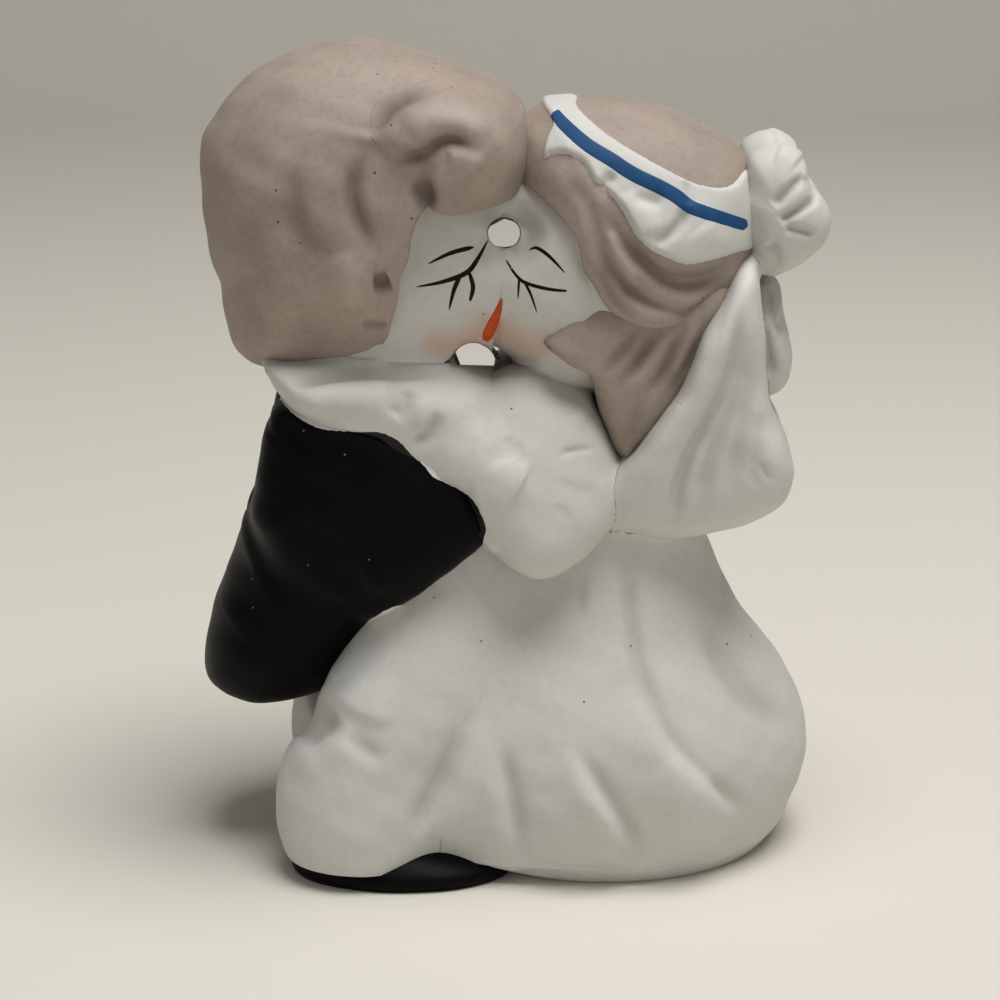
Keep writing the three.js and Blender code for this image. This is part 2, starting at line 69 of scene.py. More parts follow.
LOG = logging.getLogger("cake_topper")
MM = 0.001  # metres in a millimetre
TINY = 1e-9  # keeps a division from failing
BATCH = 20000  # places that are measured against a line at once
OUTLINE_STEPS = 240  # points of a traced outline
OVAL_STEPS = 120  # points of an elliptic outline
LOFT_ROWS = 160  # sections of a smoothed loft
STROKE_STEPS = 8  # samples of a stroke for each traced point
STROKE_REACH = 3.0  # widths and fades beyond which a stroke leaves nothing
WINDOW_STEPS = 5  # samples of a window's edge for each traced point
BOX_STEPS = (48, 32)  # samples of a form, around and along it, that give its box
BRUSH_STEPS = (72, 20)  # steps along a brush line and around it

# Ways in which the sine waves of an uneven surface and of a ragged edge run, and what sets them apart.
RIPPLE_WAYS = np.array(((1.0, 0.0, 0.6), (-0.7, 0.8, 1.3), (0.9, -0.5, 1.7)))
RIPPLE_SEEDS = np.array((1.0, 2.1, 3.7))
RAGGED_WAYS = np.array(((0.83, 0.31), (-0.71, 0.47), (1.31, -1.13)))
RAGGED_SHIFTS = np.array((0.0, 2.0, 0.0))


class Slot(Enum):
    """The record's material slots."""

    BISQUE = "bisque"
    HAIR = "hair_paint"
    BLACK = "black_enamel"
    BLUE = "blue_enamel"
    FACE = "face_paint"


class Fineness(Enum):
    """Steps around and along a worked surface."""

    LARGE = (336, 200)
    MIDDLE = (224, 140)
    SMALL = (144, 90)


class Mark(Enum):
    """How a modelling tool leaves its line in the clay."""

    LINE = "line"
    LEDGE = "ledge"


class Side(Enum):
    """Which side of the middle plane a piece stands on."""

    FRONT = "front"
    BACK = "back"


def smooth(points: Array, count: int, closed: bool = False) -> Array:
    """Draw a Catmull-Rom curve through points, with equal numbers of samples in each stretch.

    Args:
        points: (n, k) points that the curve passes through.
        count: How many samples to take.
        closed: Whether the curve returns to its first point.

    Returns:
        (count, k) samples; a closed curve doesn't repeat its first one.
    """
    points = np.asarray(points, float)
    number = len(points)
    spans = number if closed else number - 1
    at = np.linspace(0.0, spans, count, endpoint=not closed)
    start = np.minimum(at.astype(int), spans - 1)
    t = (at - start)[:, None]
    near = [start + k for k in (-1, 0, 1, 2)]
    a, b, c, d = (points[k % number if closed else np.clip(k, 0, number - 1)] for k in near)
    cubic = (-a + 3 * b - 3 * c + d) * t**3 + (2 * a - 5 * b + 4 * c - d) * t**2 + (c - a) * t
    return b + cubic / 2


def ease(share: Array) -> Array:
    """Rise smoothly from 0 to 1 as the share does."""
    share = np.clip(share, 0.0, 1.0)
    return share * share * (3 - 2 * share)


def ripple(points: Array, wave: float, seed: float) -> Array:
    """Give a soft unevenness between -1 and 1: a sum of three sine waves that cross each other.

    Args:
        points: (..., 3) places.
        wave: Length of the waves in the points' own units.
        seed: Any number; another one gives another unevenness.

    Returns:
        (...) heights.
    """
    turns = points @ RIPPLE_WAYS.T * (2 * math.pi / wave) + seed * RIPPLE_SEEDS
    return np.sin(turns).mean(-1)


def follow(line: Array, places: Array, closed: bool) -> tuple[Array, Array, Array]:
    """Measure how places lie along a line of straight steps.

    Args:
        line: (n, 2) corners of the line.
        places: (m, 2) places.
        closed: Whether the line returns to its start.

    Returns:
        The distance of each place from the line, its share of the way along it, and 1 or -1 for the side that
        it lies on.
    """
    start = line if closed else line[:-1]
    step = np.roll(line, -1, 0) - line if closed else np.diff(line, axis=0)
    length = np.maximum((step**2).sum(1), TINY)
    parts = []
    for some in np.array_split(places, 1 + len(places) // BATCH):
        off = some[:, None] - start
        share = np.clip((off * step).sum(2) / length, 0.0, 1.0)
        gap = off - share[..., None] * step
        square = (gap**2).sum(2)
        best = square.argmin(1)
        row = np.arange(len(some))
        turn = step[best, 0] * gap[row, best, 1] - step[best, 1] * gap[row, best, 0]
        along = (best + share[row, best]) / len(start)
        parts.append((np.sqrt(square[row, best]), along, np.where(turn < 0, 1.0, -1.0)))
    return tuple(np.concatenate(column) for column in zip(*parts))


def inside(line: Array, places: Array) -> Array:
    """Tell which places a closed line encloses, by counting the crossings of a ray to the right.

    Args:
        line: (n, 2) corners of the closed line.
        places: (m, 2) places.

    Returns:
        (m,) True for the enclosed places.
    """
    after = np.roll(line, -1, 0)
    x, y = places[:, :1], places[:, 1:]
    crosses = (line[:, 1] > y) != (after[:, 1] > y)
    rise = np.where(after[:, 1] == line[:, 1], TINY, after[:, 1] - line[:, 1])
    meets = line[:, 0] + (y - line[:, 1]) * (after[:, 0] - line[:, 0]) / rise
    return (crosses & (x < meets)).sum(1) % 2 == 1


@dataclass(frozen=True)
class View:
    """The photograph's camera, which carries places between the photograph and the figure."""

    aim: tuple[float, float, float] = (-1.65, 0.0, 46.5)
    distance: float = 380.0
    elevation: float = 16.0
    focal: float = 2838.0  # focal length in pixels of the photograph
    middle: float = 500.0  # pixel at the middle of the photograph

    @property
    def tilt(self) -> tuple[float, float]:
        """Sine and cosine of the angle at which the camera looks down."""
        return math.sin(math.radians(self.elevation)), math.cos(math.radians(self.elevation))

    @property
    def scale(self) -> float:
        """Millimetres that a pixel covers at the aim."""
        return self.distance / self.focal

    def pixels(self, points: Array, mirrored: bool = True) -> Array:
        """Find where points show in the photograph.

        Args:
            points: (..., 3) points.
            mirrored: Bring points behind the middle plane to the front first, so that both sides of the
                figure carry the same marks.

        Returns:
            (..., 2) pixels.
        """
        sine, cosine = self.tilt
        x, y, z = np.moveaxis(np.asarray(points, float), -1, 0)
        y = -np.abs(y) if mirrored else y
        across, up = x - self.aim[0], z - self.aim[2]
        depth = self.distance + cosine * y - sine * up
        rise = cosine * up + sine * y
        return self.middle + self.focal * np.stack((across, -rise), -1) / depth[..., None]

    def lift(self, pixels: Array, y: Array | float) -> Array:
        """Find the x and z of the points at depth y that show at given pixels.

        Args:
            pixels: (..., 2) pixels.
            y: Depth of the points.

        Returns:
            (..., 2) x and z.
        """
        sine, cosine = self.tilt
        pixels = np.asarray(pixels, float)
        rise = (self.middle - pixels[..., 1]) / self.focal
        up = (rise * (self.distance + cosine * y) - sine * y) / (cosine + sine * rise)
        depth = self.distance + cosine * y - sine * up
        across = (pixels[..., 0] - self.middle) / self.focal * depth
        return np.stack((self.aim[0] + across, self.aim[2] + up), -1)

    def silhouette(self, trace: Trace, y: float, deep: float, square: float, lean: float = 0.0) -> Array:
        """Find the outline at depth y of a rounded form that fills a traced silhouette.

        Seen from above, a form that swells to a half depth d shows past its outline: the tangent at distance
        h of its middle moves out to (h^p + (d sin(tilt) n)^p)^(1/p), where n is the upward part of the
        outline's normal and p belongs to the form's squareness s by 1/p + 1/s = 1. The outline is drawn in
        by as much.

        Args:
            trace: The silhouette in pixels.
            y: Depth of the outline's plane.
            deep: Half the depth of the form.
            square: Exponent of the form's rounding.
            lean: How far the form leans back for each millimetre of height.

        Returns:
            (n, 2) x and z, counter-clockwise as seen from the front.
        """
        line = smooth(self.lift(np.array(trace), y), OUTLINE_STEPS, closed=True)
        height = line[:, 1] - (line[:, 1].min() + line[:, 1].max()) / 2
        upright = np.stack((line[:, 0], np.full(len(line), y), line[:, 1]), 1)
        line = self.lift(self.pixels(upright, mirrored=False), y + lean * height)
        after = np.roll(line, -1, 0)
        if (line[:, 0] * after[:, 1] - line[:, 1] * after[:, 0]).sum() < 0:
            line = line[::-1]
        beside = 3  # steps to each side that give the line's direction
        run = np.roll(line, -beside, 0) - np.roll(line, beside, 0)
        normal = np.stack((run[:, 1], -run[:, 0]), 1) / np.linalg.norm(run, axis=1, keepdims=True)
        middle = (line.min(0) + line.max(0)) / 2
        power = square / (square - 1)
        swell = np.abs(deep * self.tilt[0] * normal[:, 1])
        narrow = 0.1  # least reach of a straight side
        reach = np.maximum(((line - middle) * normal).sum(1), 2 * swell + narrow)
        drawn = reach - (reach**power - swell**power) ** (1 / power)
        return line - normal * drawn[:, None]


VIEW = View()


class Form:
    """A closed rounded form, known by its surface and by a measure that is 1 on the surface."""

    def surface(self, u: Array, v: Array) -> Array:
        """Give the surface's points; u goes once around, v from one pole to the other."""
        raise NotImplementedError

    def measure(self, points: Array) -> Array:
        """Give 1 on the surface, less inside the form and more outside."""
        raise NotImplementedError

    def hold(self, v: Array) -> Array:
        """Tell how freely the surface may be worked at v, from 0 to 1."""
        return np.ones_like(v)

    def gap(self, points: Array) -> tuple[Array, Array]:
        """Give the distance from the surface, negative inside, and the direction straight out.

        The distance is the measure's excess over 1 divided by the steepness of the measure, which is found
        from its differences over a small step.

        Args:
            points: (n, 3) points near the form.

        Returns:
            (n,) distances and (n, 3) directions.
        """
        step = 0.02
        here = self.measure(points)
        slope = np.stack([self.measure(points + shift) - here for shift in np.eye(3) * step], -1) / step
        steep = np.maximum(np.linalg.norm(slope, axis=-1), TINY)
        return (here - 1) / steep, slope / steep[:, None]

    def around(self, points: Array, margin: float) -> Array:
        """Tell which points lie in the form's box, or within the margin of it."""
        low, high = self.box
        return np.all((points > low - margin) & (points < high + margin), -1)

    @cached_property
    def box(self) -> tuple[Array, Array]:
        """Lowest and highest corners of the surface."""
        u, v = np.meshgrid(*(np.linspace(0, 1, steps) for steps in BOX_STEPS))
        points = self.surface(u, v).reshape(-1, 3)
        return points.min(0), points.max(0)


@dataclass(frozen=True, eq=False)
class Pillow(Form):
    """An outline in the XZ plane that is rounded off to a front and a back pole.

    At angle a around the middle the outline lies at R(a). A point at reach r of R stands at depth
    d (1 - r^n)^(1/n) from the middle plane, so n = 2 is round and a larger n is flatter with a blunter edge.
    """

    outline: Array
    y: float
    deep: float
    square: float = 2.0
    blunt: tuple[float, float] | None = None  # degrees of the blunter side, and n there
    lean: float = 0.0  # how far the form leans back for each millimetre of height

    @staticmethod
    def traced(
        trace: Trace,
        y: float,
        deep: float,
        square: float = 2.0,
        blunt: tuple[float, float] | None = None,
        lean: float = 0.0,
    ) -> Pillow:
        """Make the pillow that fills a silhouette traced in the photograph."""
        return Pillow(VIEW.silhouette(trace, y, deep, square, lean), y, deep, square, blunt, lean)

    @staticmethod
    def raised(
        trace: Trace, deep: float, square: float, edge: float, blunt: tuple[float, float] | None = None
    ) -> Pillow:
        """Make the pillow whose traced edge stands out of its neighbours.

        Args:
            trace: The edge, in pixels.
            deep: Half the depth of the form.
            square: Exponent of its rounding.
            edge: How far in front of the middle plane the edge lies.
            blunt: Degrees of a blunter side, and the exponent there.

        Returns:
            The new form, grown a little, so that its rim lies inside the neighbours.
        """
        outline = smooth(VIEW.lift(np.array(trace), -edge), OUTLINE_STEPS, closed=True)
        middle = (outline.min(0) + outline.max(0)) / 2
        grown = 1.03
        return Pillow(middle + (outline - middle) * grown, 0.0, deep, square, blunt)

    @staticmethod
    def oval(middle: Array, half: Array, square: float = 2.0) -> Pillow:
        """Make the pillow over an ellipse.

        Args:
            middle: Middle of the form.
            half: Its half sizes.
            square: Exponent of its rounding.

        Returns:
            The new form.
        """
        turn = np.linspace(0, 2 * math.pi, OVAL_STEPS, endpoint=False)
        outline = np.stack((middle[0] + half[0] * np.cos(turn), middle[2] + half[2] * np.sin(turn)), 1)
        return Pillow(outline, middle[1], half[1], square)

    @cached_property
    def middle(self) -> Array:
        """Middle of the outline's box, in x and z."""
        return (self.outline.min(0) + self.outline.max(0)) / 2

    def radius(self, turn: Array) -> Array:
        """Give R(a), how far the outline lies from the middle."""
        x, z = (self.outline - self.middle).T
        return np.interp(turn, np.arctan2(z, x), np.hypot(x, z), period=2 * math.pi)

    def power(self, turn: Array) -> Array:
        """Give n at an angle: it rises to the blunt value as the squared cosine of the way to that side.

        Args:
            turn: Angles around the middle.

        Returns:
            The exponents.
        """
        if self.blunt is None:
            return np.full_like(turn, self.square)
        facing = np.maximum(np.cos(turn - math.radians(self.blunt[0])), 0.0) ** 2
        return self.square + (self.blunt[1] - self.square) * facing

    def surface(self, u: Array, v: Array) -> Array:
        """Give the points: v = 0 and 1 are the poles and 0.5 is the outline, with even steps between.

        Args:
            u: Parameters around the form.
            v: Parameters from the front pole to the back one.

        Returns:
            (..., 3) points.
        """
        turn = 2 * math.pi * u
        power = self.power(turn)
        share = 1 - np.abs(1 - 2 * v)
        even = share ** (power / 2) / (share ** (power / 2) + (1 - share) ** (power / 2))
        reach = np.sin(even * math.pi / 2) ** (2 / power)
        depth = np.maximum(np.cos(even * math.pi / 2), 0.0) ** (2 / power)
        radius = reach * self.radius(turn)
        up = radius * np.sin(turn)
        y = self.y + self.lean * up - np.sign(0.5 - v) * self.deep * depth
        return np.stack((self.middle[0] + radius * np.cos(turn), y, self.middle[1] + up), -1)

    def measure(self, points: Array) -> Array:
        """Give the n-norm of the reach and of the share of the depth.

        Args:
            points: (..., 3) points.

        Returns:
            (...) measures.
        """
        x, y, z = np.moveaxis(points, -1, 0)
        turn = np.arctan2(z - self.middle[1], x - self.middle[0])
        power = self.power(turn)
        reach = np.hypot(x - self.middle[0], z - self.middle[1]) / self.radius(turn)
        depth = np.abs(y - self.y - self.lean * (z - self.middle[1])) / self.deep
        return (reach**power + depth**power + TINY) ** (1 / power)

    def locate(self, places: Array) -> tuple[Array, Array]:
        """Find the parameters of the front points at given places.

        Args:
            places: (..., 2) x and z.

        Returns:
            u and v, by turning the surface's formula round.
        """
        off = places - self.middle
        turn = np.arctan2(off[..., 1], off[..., 0])
        power = self.power(turn)
        rim = 0.998  # the front ends just inside the outline
        reach = np.clip(np.hypot(off[..., 0], off[..., 1]) / self.radius(turn), 0.0, rim)
        even = np.arcsin(reach ** (power / 2)) * 2 / math.pi
        share = even ** (2 / power) / (even ** (2 / power) + (1 - even) ** (2 / power))
        return turn / (2 * math.pi), share / 2


@dataclass(frozen=True)
class Drape:
    """A stretch of a hem that billows out and lifts."""

    middle: float = 0.0  # degrees around the sections
    spread: float = 1.0  # degrees to each side over which it mostly goes
    out: float = 0.0
    lift: float = 0.0
    high: float = 14.0  # height over the hem at which it has mostly gone


@dataclass(frozen=True, eq=False)
class Loft(Form):
    """Level oval sections, one above the other, joined by a smooth curve through their sizes.

    A section is (z, x, y, half width, half depth), from the bottom up. The foot closes the lowest section
    with (share of its size, z) rows towards its middle, and the last row closes on a point.
    """

    sections: tuple[tuple[float, ...], ...]
    foot: tuple[tuple[float, float], ...] = ()
    cap_share: float = 0.06  # share of v that each closing takes
    drape: Drape = Drape()

    @cached_property
    def rows(self) -> Array:
        """Closely spaced sections along the smooth curve."""
        return smooth(np.array(self.sections), LOFT_ROWS)

    def section(self, z: Array) -> Array:
        """Give x, y, half width and half depth at heights, as the rows have them."""
        rows = self.rows
        return np.stack([np.interp(z, rows[:, 0], rows[:, k]) for k in (1, 2, 3, 4)], -1)

    def profile(self, v: Array) -> tuple[Array, Array]:
        """Follow v over the closed bottom, the side and the closed top.

        Args:
            v: Parameters from the bottom to the top.

        Returns:
            Shares of the section's size, and shares of the way up the side.
        """
        cap = self.cap_share
        rise = np.clip((v - cap) / (1 - 2 * cap), 0.0, 1.0)
        return np.clip(np.minimum(v, 1 - v) / cap, 0.0, 1.0), rise

    def hold(self, v: Array) -> Array:
        """Leave the closed ends as they are."""
        free = 0.8  # share of an end's size from which the tools reach it
        return ease((self.profile(v)[0] - free) / (1 - free))

    def billow(self, turn: Array, z: Array) -> tuple[Array, Array]:
        """Give how far the hem's drape moves out and lifts a place at an angle and a height.

        Both are bell curves of the way round to the drape and of the height over the hem.

        Args:
            turn: Angles around the sections.
            z: Heights.

        Returns:
            The way out and the lift.
        """
        drape = self.drape
        front = 2 * math.pi - np.abs((turn + math.pi) % (2 * math.pi) - math.pi)
        off = (front - math.radians(drape.middle)) / math.radians(drape.spread)
        height = (z - self.sections[0][0]) / drape.high
        share = np.exp(-(off**2) - height**2)
        return drape.out * share, drape.lift * share

    def surface(self, u: Array, v: Array) -> Array:
        """Give the points: the foot, the sides and a closed top, each ring an ellipse around its middle.

        Args:
            u: Parameters around the form.
            v: Parameters from the bottom to the top.

        Returns:
            (..., 3) points.
        """
        size, rise = self.profile(v)
        at = rise * (len(self.rows) - 1)
        z, x, y, wide, deep = (np.interp(at, np.arange(len(self.rows)), column) for column in self.rows.T)
        if self.foot:
            shares, levels = np.array(((1.0, self.sections[0][0]), *self.foot)).T
            steps = np.linspace(0.0, 1.0, len(shares))
            below = v < self.cap_share
            z = np.where(below, np.interp(1 - size, steps, levels), z)
            size = np.where(below, np.interp(1 - size, steps, shares), size)
        turn = 2 * math.pi * u
        out, lift = self.billow(turn, z)
        x = x + size * (wide + out) * np.cos(turn)
        y = y + size * (deep + out) * np.sin(turn)
        return np.stack((x, y, z + lift * size**4), -1)

    def measure(self, points: Array) -> Array:
        """Give the share of the section's size at a point's height, or of the height where that is more.

        Args:
            points: (..., 3) points.

        Returns:
            (...) measures.
        """
        x, y, wide, deep = np.moveaxis(self.section(points[..., 2]), -1, 0)
        turn = np.arctan2((points[..., 1] - y) / deep, (points[..., 0] - x) / wide)
        out = self.billow(turn, points[..., 2])[0]
        side = np.hypot((points[..., 0] - x) / (wide + out), (points[..., 1] - y) / (deep + out))
        low, high = self.rows[0, 0], self.rows[-1, 0]
        return np.maximum(side, np.abs(2 * points[..., 2] - low - high) / (high - low))


@dataclass(frozen=True)
class Stroke:
    """A tool's line in the clay, traced in the photograph.

    A LINE lifts the surface by height exp(-(d / width)^2) at distance d, so a negative height is a groove. A
    LEDGE lifts the left side of the line as it is followed, and sinks back over the fade.
    """

    trace: Trace
    width: float
    height: float
    mark: Mark = Mark.LINE
    fade: float = 0.0
    taper: float = 0.25  # share of the length over which each end runs out

    def relief(self, pixels: Array) -> Array:
        """Give the lift at places of the photograph.

        Args:
            pixels: (n, 2) places.

        Returns:
            (n,) lifts.
        """
        line = smooth(np.array(self.trace, float), STROKE_STEPS * len(self.trace))
        reach = STROKE_REACH * (self.width + self.fade) / VIEW.scale
        near = np.all((pixels > line.min(0) - reach) & (pixels < line.max(0) + reach), -1)
        lift = np.zeros(len(pixels))
        if near.any():
            gap, share, side = follow(line, pixels[near], closed=False)
            gap = gap * VIEW.scale
            ends = ease(np.minimum(share, 1 - share) / self.taper) if self.taper else 1.0
            if self.mark is Mark.LINE:
                shape = np.exp(-((gap / self.width) ** 2))
            else:
                edge = 0.5 + 0.5 * np.tanh(side * gap / self.width)
                shape = edge * np.exp(-((np.where(side > 0, gap, 0.0) / self.fade) ** 2))
            lift[near] = self.height * ends * shape
        return lift


@dataclass(frozen=True)
class Window:
    """A region traced in the photograph where a piece goes under its neighbour.

    The surface sinks by the depth across an edge of the given width. A ragged edge wanders by the given
    amount, as a brush leaves it.
    """

    trace: Trace
    depth: float
    edge: float = 0.5
    ragged: float = 0.08
    outside: bool = False
    margin: float = 4.0  # distances are measured this far out

    def within(self, pixels: Array) -> Array:
        """Give the distance in millimetres inside the region, negative outside.

        Args:
            pixels: (n, 2) places.

        Returns:
            (n,) distances; a ragged edge adds three sine waves that cross each other.
        """
        line = smooth(np.array(self.trace, float), WINDOW_STEPS * len(self.trace), closed=True)
        reach = self.margin / VIEW.scale
        near = np.all((pixels > line.min(0) - reach) & (pixels < line.max(0) + reach), -1)
        gap = np.full(len(pixels), -self.margin)
        if near.any():
            distance = follow(line, pixels[near], closed=True)[0] * VIEW.scale
            gap[near] = np.where(inside(line, pixels[near]), distance, -distance)
        wander = np.sin(pixels @ RAGGED_WAYS.T + RAGGED_SHIFTS).sum(-1)
        return gap + self.ragged * wander / 2

    def sink(self, pixels: Array) -> Array:
        """Give how far the surface is lowered at places."""
        gap = self.within(pixels) * (-1 if self.outside else 1)
        return self.depth * ease(0.5 + gap / self.edge / 2)


@dataclass(frozen=True)
class Press:
    """A round tool pushed through the soft clay along the camera's line of sight.

    Clay in the tool's way moves straight along the given direction until it clears the tool's circle, or the
    circle's flat diameter. The way that it moves is soft log(1 + exp(short / soft)), where short is what it
    lacks to be clear.
    """

    centre: tuple[float, float]
    radius: float
    way: tuple[float, float]
    flat: bool = False
    soft: float = 0.35  # rounding of the edge
    side: float = 0.2  # share of the radius over which the push runs out at the sides

    def push(self, points: Array) -> Array:
        """Move points out of the way.

        Args:
            points: (n, 3) points.

        Returns:
            (n, 3) moved points.
        """
        off = (VIEW.pixels(points, mirrored=False) - self.centre) * VIEW.scale * (1, -1)
        along = off @ np.array(self.way)
        across = off @ np.array((-self.way[1], self.way[0]))
        room = self.radius**2 - across**2
        limit = np.zeros_like(room) if self.flat else np.sqrt(np.maximum(room, 0.0))
        move = self.soft * np.logaddexp(0.0, (limit - along) / self.soft)
        move *= ease(room / (self.side * self.radius) ** 2)
        return points + move[:, None] * np.array((self.way[0], 0.0, self.way[1]))


JOINT_SHARE = 0.36  # share of a joint's reach that rounds it
JOINT_MARGIN = 3.0  # how near a neighbour counts, in reaches of its joint
HIDDEN, LOOSE = 0.9, 0.3  # depths in a neighbour at which points stay and move freely, in reaches
FAR, NEAR = 1.4, 1.0  # distances from a neighbour at which its pull begins and is full, in reaches
FLOW_ROUNDS = 16
FLOW_STEP = 0.8  # longest step of a flowing point
FLATTEST = 0.06  # least slope that a flowing point follows
UNEVEN_WAVE, UNEVEN_SEED = 9.0, 7.0  # waves of the unevenness that a hand leaves
FIND_ROUNDS, FIND_STEP = 28, 0.4
FIRST_DEPTH = 0.8  # share of a form's depth at which a search starts
FULL_RELIEF = 0.7  # lift at which a groove has its full painted shade, or a ridge its full paler colour
MOST_BLUSH = 0.8

# How far the slip is smoothed out where two pieces run into each other, where it isn't the usual joint. Pairs
# with no reach keep a sharp line between them.
JOINTS = {
    10.0: (("skirt", "trouser_leg"),),
    9.0: (("coat_sleeve", "coat_tail"),),
    8.0: (("groom_head", "bride_head"),),
    6.0: (("groom_head", "groom_collar"),),
    4.0: (("groom_hair", "groom_fringe"),),
    3.0: tuple(combinations(("groom_collar", "groom_hand", "bride_hand", "bride_sleeve"), 2)),
    2.5: (("bride_head", "bride_sleeve"),),
    2.0: (("bow_loop", "veil"),),
    1.5: (("bride_sleeve", "veil"), ("bow_loop", "bow_knot")),
    0.0: (
        *(("headband", other) for other in ("bow_loop", "bow_knot")),
        *(("coat_sleeve", other) for other in ("coat_body", "groom_collar", "groom_hand", "bride_hand")),
        *(("bride_sleeve", other) for other in ("coat_sleeve", "skirt", "trouser_leg")),
        *(("coat_body", other) for other in ("groom_collar", "trouser_leg")),
        *(("trouser_leg", other) for other in ("coat_sleeve", "coat_tail", "shoe")),
        ("shoe", "skirt"),
    ),
}
BONDS = {frozenset(pair): reach for reach, pairs in JOINTS.items() for pair in pairs}


@dataclass
class Clay:
    """One luted piece of clay: a form that has been worked with strokes, windows and presses."""

    node: str
    form: Form
    slot: Slot
    fineness: Fineness = Fineness.MIDDLE
    strokes: tuple[Stroke, ...] = ()
    windows: tuple[Window, ...] = ()
    presses: tuple[Press, ...] = ()
    paired: bool = False
    soft: float = 1.2  # rounding of the slip joints with the neighbours
    uneven: float = 0.10
    paint: Trace = ()  # edge of the paint, outside which the clay is bare
    blush: tuple[Stroke, ...] = ()  # strokes of a soft brush; the height is the strength of the colour
    neighbours: list[tuple[Form, float]] = field(default_factory=list)
    front: Array = field(default_factory=lambda: np.zeros((2, 1, 3)))  # finished corners on the front side

    @property
    def names(self) -> dict[Side, str]:
        """The nodes that the piece stands for, by side."""
        sides = Side if self.paired else (Side.FRONT,)
        return {side: f"{self.node}_{side.value}" if self.paired else self.node for side in sides}

    def join(self, others: list[Clay]) -> None:
        """Take note of the neighbours that slip joins this piece to.

        Args:
            others: All the pieces of the figure.
        """
        for other in others:
            bond = BONDS.get(frozenset((self.node, other.node)), min(self.soft, other.soft))
            if other is not self and bond:
                self.neighbours.append((other.form, bond))

    def level(self, points: Array) -> tuple[Array, Array]:
        """Give the distance from the smooth union with the neighbours, and the way out of it.

        Surfaces at distances a, b, ... that meet in joints of the same reach make a union at the distance
        -s log(exp(-a / s) + exp(-b / s) + ...), where s is a share of the reach. Wide joints come first.

        Args:
            points: (n, 3) points.

        Returns:
            (n,) distances and their (n, 3) slopes.
        """
        level, way = self.form.gap(points)
        for k in sorted({k for _, k in self.neighbours}, reverse=True):
            scale = JOINT_SHARE * k
            least = level.copy()
            parts = [(slice(None), level, way)]
            for form in (form for form, other in self.neighbours if other == k):
                near = np.flatnonzero(form.around(points, JOINT_MARGIN * k))
                gap, out = form.gap(points[near])
                least[near] = np.minimum(least[near], gap)
                parts.append((near, gap, out))
            total, slope = np.zeros(len(points)), np.zeros_like(points)
            for near, gap, out in parts:
                share = np.exp((least[near] - gap) / scale)
                total[near] += share
                slope[near] += share[:, None] * out
            level, way = least - scale * np.log(total), slope / total[:, None]
        return level, way

    def unite(self, points: Array) -> tuple[Array, Array]:
        """Let the surface flow out onto its smooth union with the neighbours.

        Points follow the slope of the union's distance until it is nothing, so that their ways never cross.
        Points deep inside a neighbour stay hidden there.

        Args:
            points: (n, 3) points of the form's own surface.

        Returns:
            (n, 3) moved points and the union's (n, 3) directions straight out.
        """
        flip = np.where(points[:, 1:2] > 0, (1.0, -1.0, 1.0), 1.0)
        front = points * flip
        normal = self.form.gap(front)[1]
        free, pull = np.ones(len(points)), np.zeros(len(points))
        for form, k in self.neighbours:
            near = np.flatnonzero(form.around(front, JOINT_MARGIN * k))
            gap = form.gap(front[near])[0] / k
            free[near] = np.minimum(free[near], ease((gap + HIDDEN) / (HIDDEN - LOOSE)))
            pull[near] = np.maximum(pull[near], ease((FAR - np.abs(gap)) / (FAR - NEAR)))
        close = pull > 0
        moved, freed = front[close], (free * pull)[close, None]
        for _ in range(FLOW_ROUNDS if close.any() else 0):
            level, way = self.level(moved)
            length = np.maximum(np.linalg.norm(way, axis=1, keepdims=True), FLATTEST)
            normal[close] = way / length
            moved = moved - normal[close] * np.clip(level[:, None] / length, -FLOW_STEP, FLOW_STEP) * freed
        front[close] = moved
        return front * flip, normal * flip

    def work(self, u: Array, v: Array, side: Side = Side.FRONT) -> tuple[Array, Array]:
        """Work out the finished surface.

        Args:
            u: Parameters around the form.
            v: Parameters from pole to pole.
            side: Side of a paired piece.

        Returns:
            (n, 3) points, and (n,) lifts by the tools alone, negative in grooves.
        """
        shape = u.shape
        points = self.form.surface(u, v).reshape(-1, 3)
        hold = self.form.hold(v).reshape(-1, 1)
        united, way = self.unite(points)
        points = points + (united - points) * hold
        pixels = VIEW.pixels(points)
        tool = sum((stroke.relief(pixels) for stroke in self.strokes), np.zeros(len(points)))
        mirrored = np.stack((points[:, 0], np.abs(points[:, 1]), points[:, 2]), 1)
        lift = tool + self.uneven * ripple(mirrored, UNEVEN_WAVE, UNEVEN_SEED)
        for window in self.windows:
            lift = lift - window.sink(pixels)
        points = points + way * lift[:, None] * hold
        if side is Side.BACK:
            points = points * (1, -1, 1)
        for press in self.presses:
            points = press.push(points)
        points[:, 2] = np.maximum(points[:, 2], 0.0)
        return points.reshape(*shape, 3), tool.reshape(shape)

    def find(self, pixels: Array) -> Array:
        """Find the front points of the finished surface that show at given pixels.

        The depth is guessed, the place at that depth gives the parameters, and the point found there between
        the corners of the mesh corrects both, until it shows where it should.

        Args:
            pixels: (n, 2) pixels.

        Returns:
            (n, 3) points.
        """
        rows, around = self.front.shape[:2]
        depth = np.full(len(pixels), self.form.box[0][1] * FIRST_DEPTH)
        target = np.array(pixels, float)
        for _ in range(FIND_ROUNDS):
            u, v = self.form.locate(VIEW.lift(target, depth))
            across, down = (u % 1.0) * around, v * (rows - 1)
            column, row = across.astype(int), np.minimum(down.astype(int), rows - 2)
            s, t = (across - column)[:, None], (down - row)[:, None]
            left, right = column % around, (column + 1) % around
            upper, lower = (self.front[r, left] * (1 - s) + self.front[r, right] * s for r in (row, row + 1))
            points = upper * (1 - t) + lower * t
            target = target + FIND_STEP * (pixels - VIEW.pixels(points))
            depth = points[:, 1]
        return points

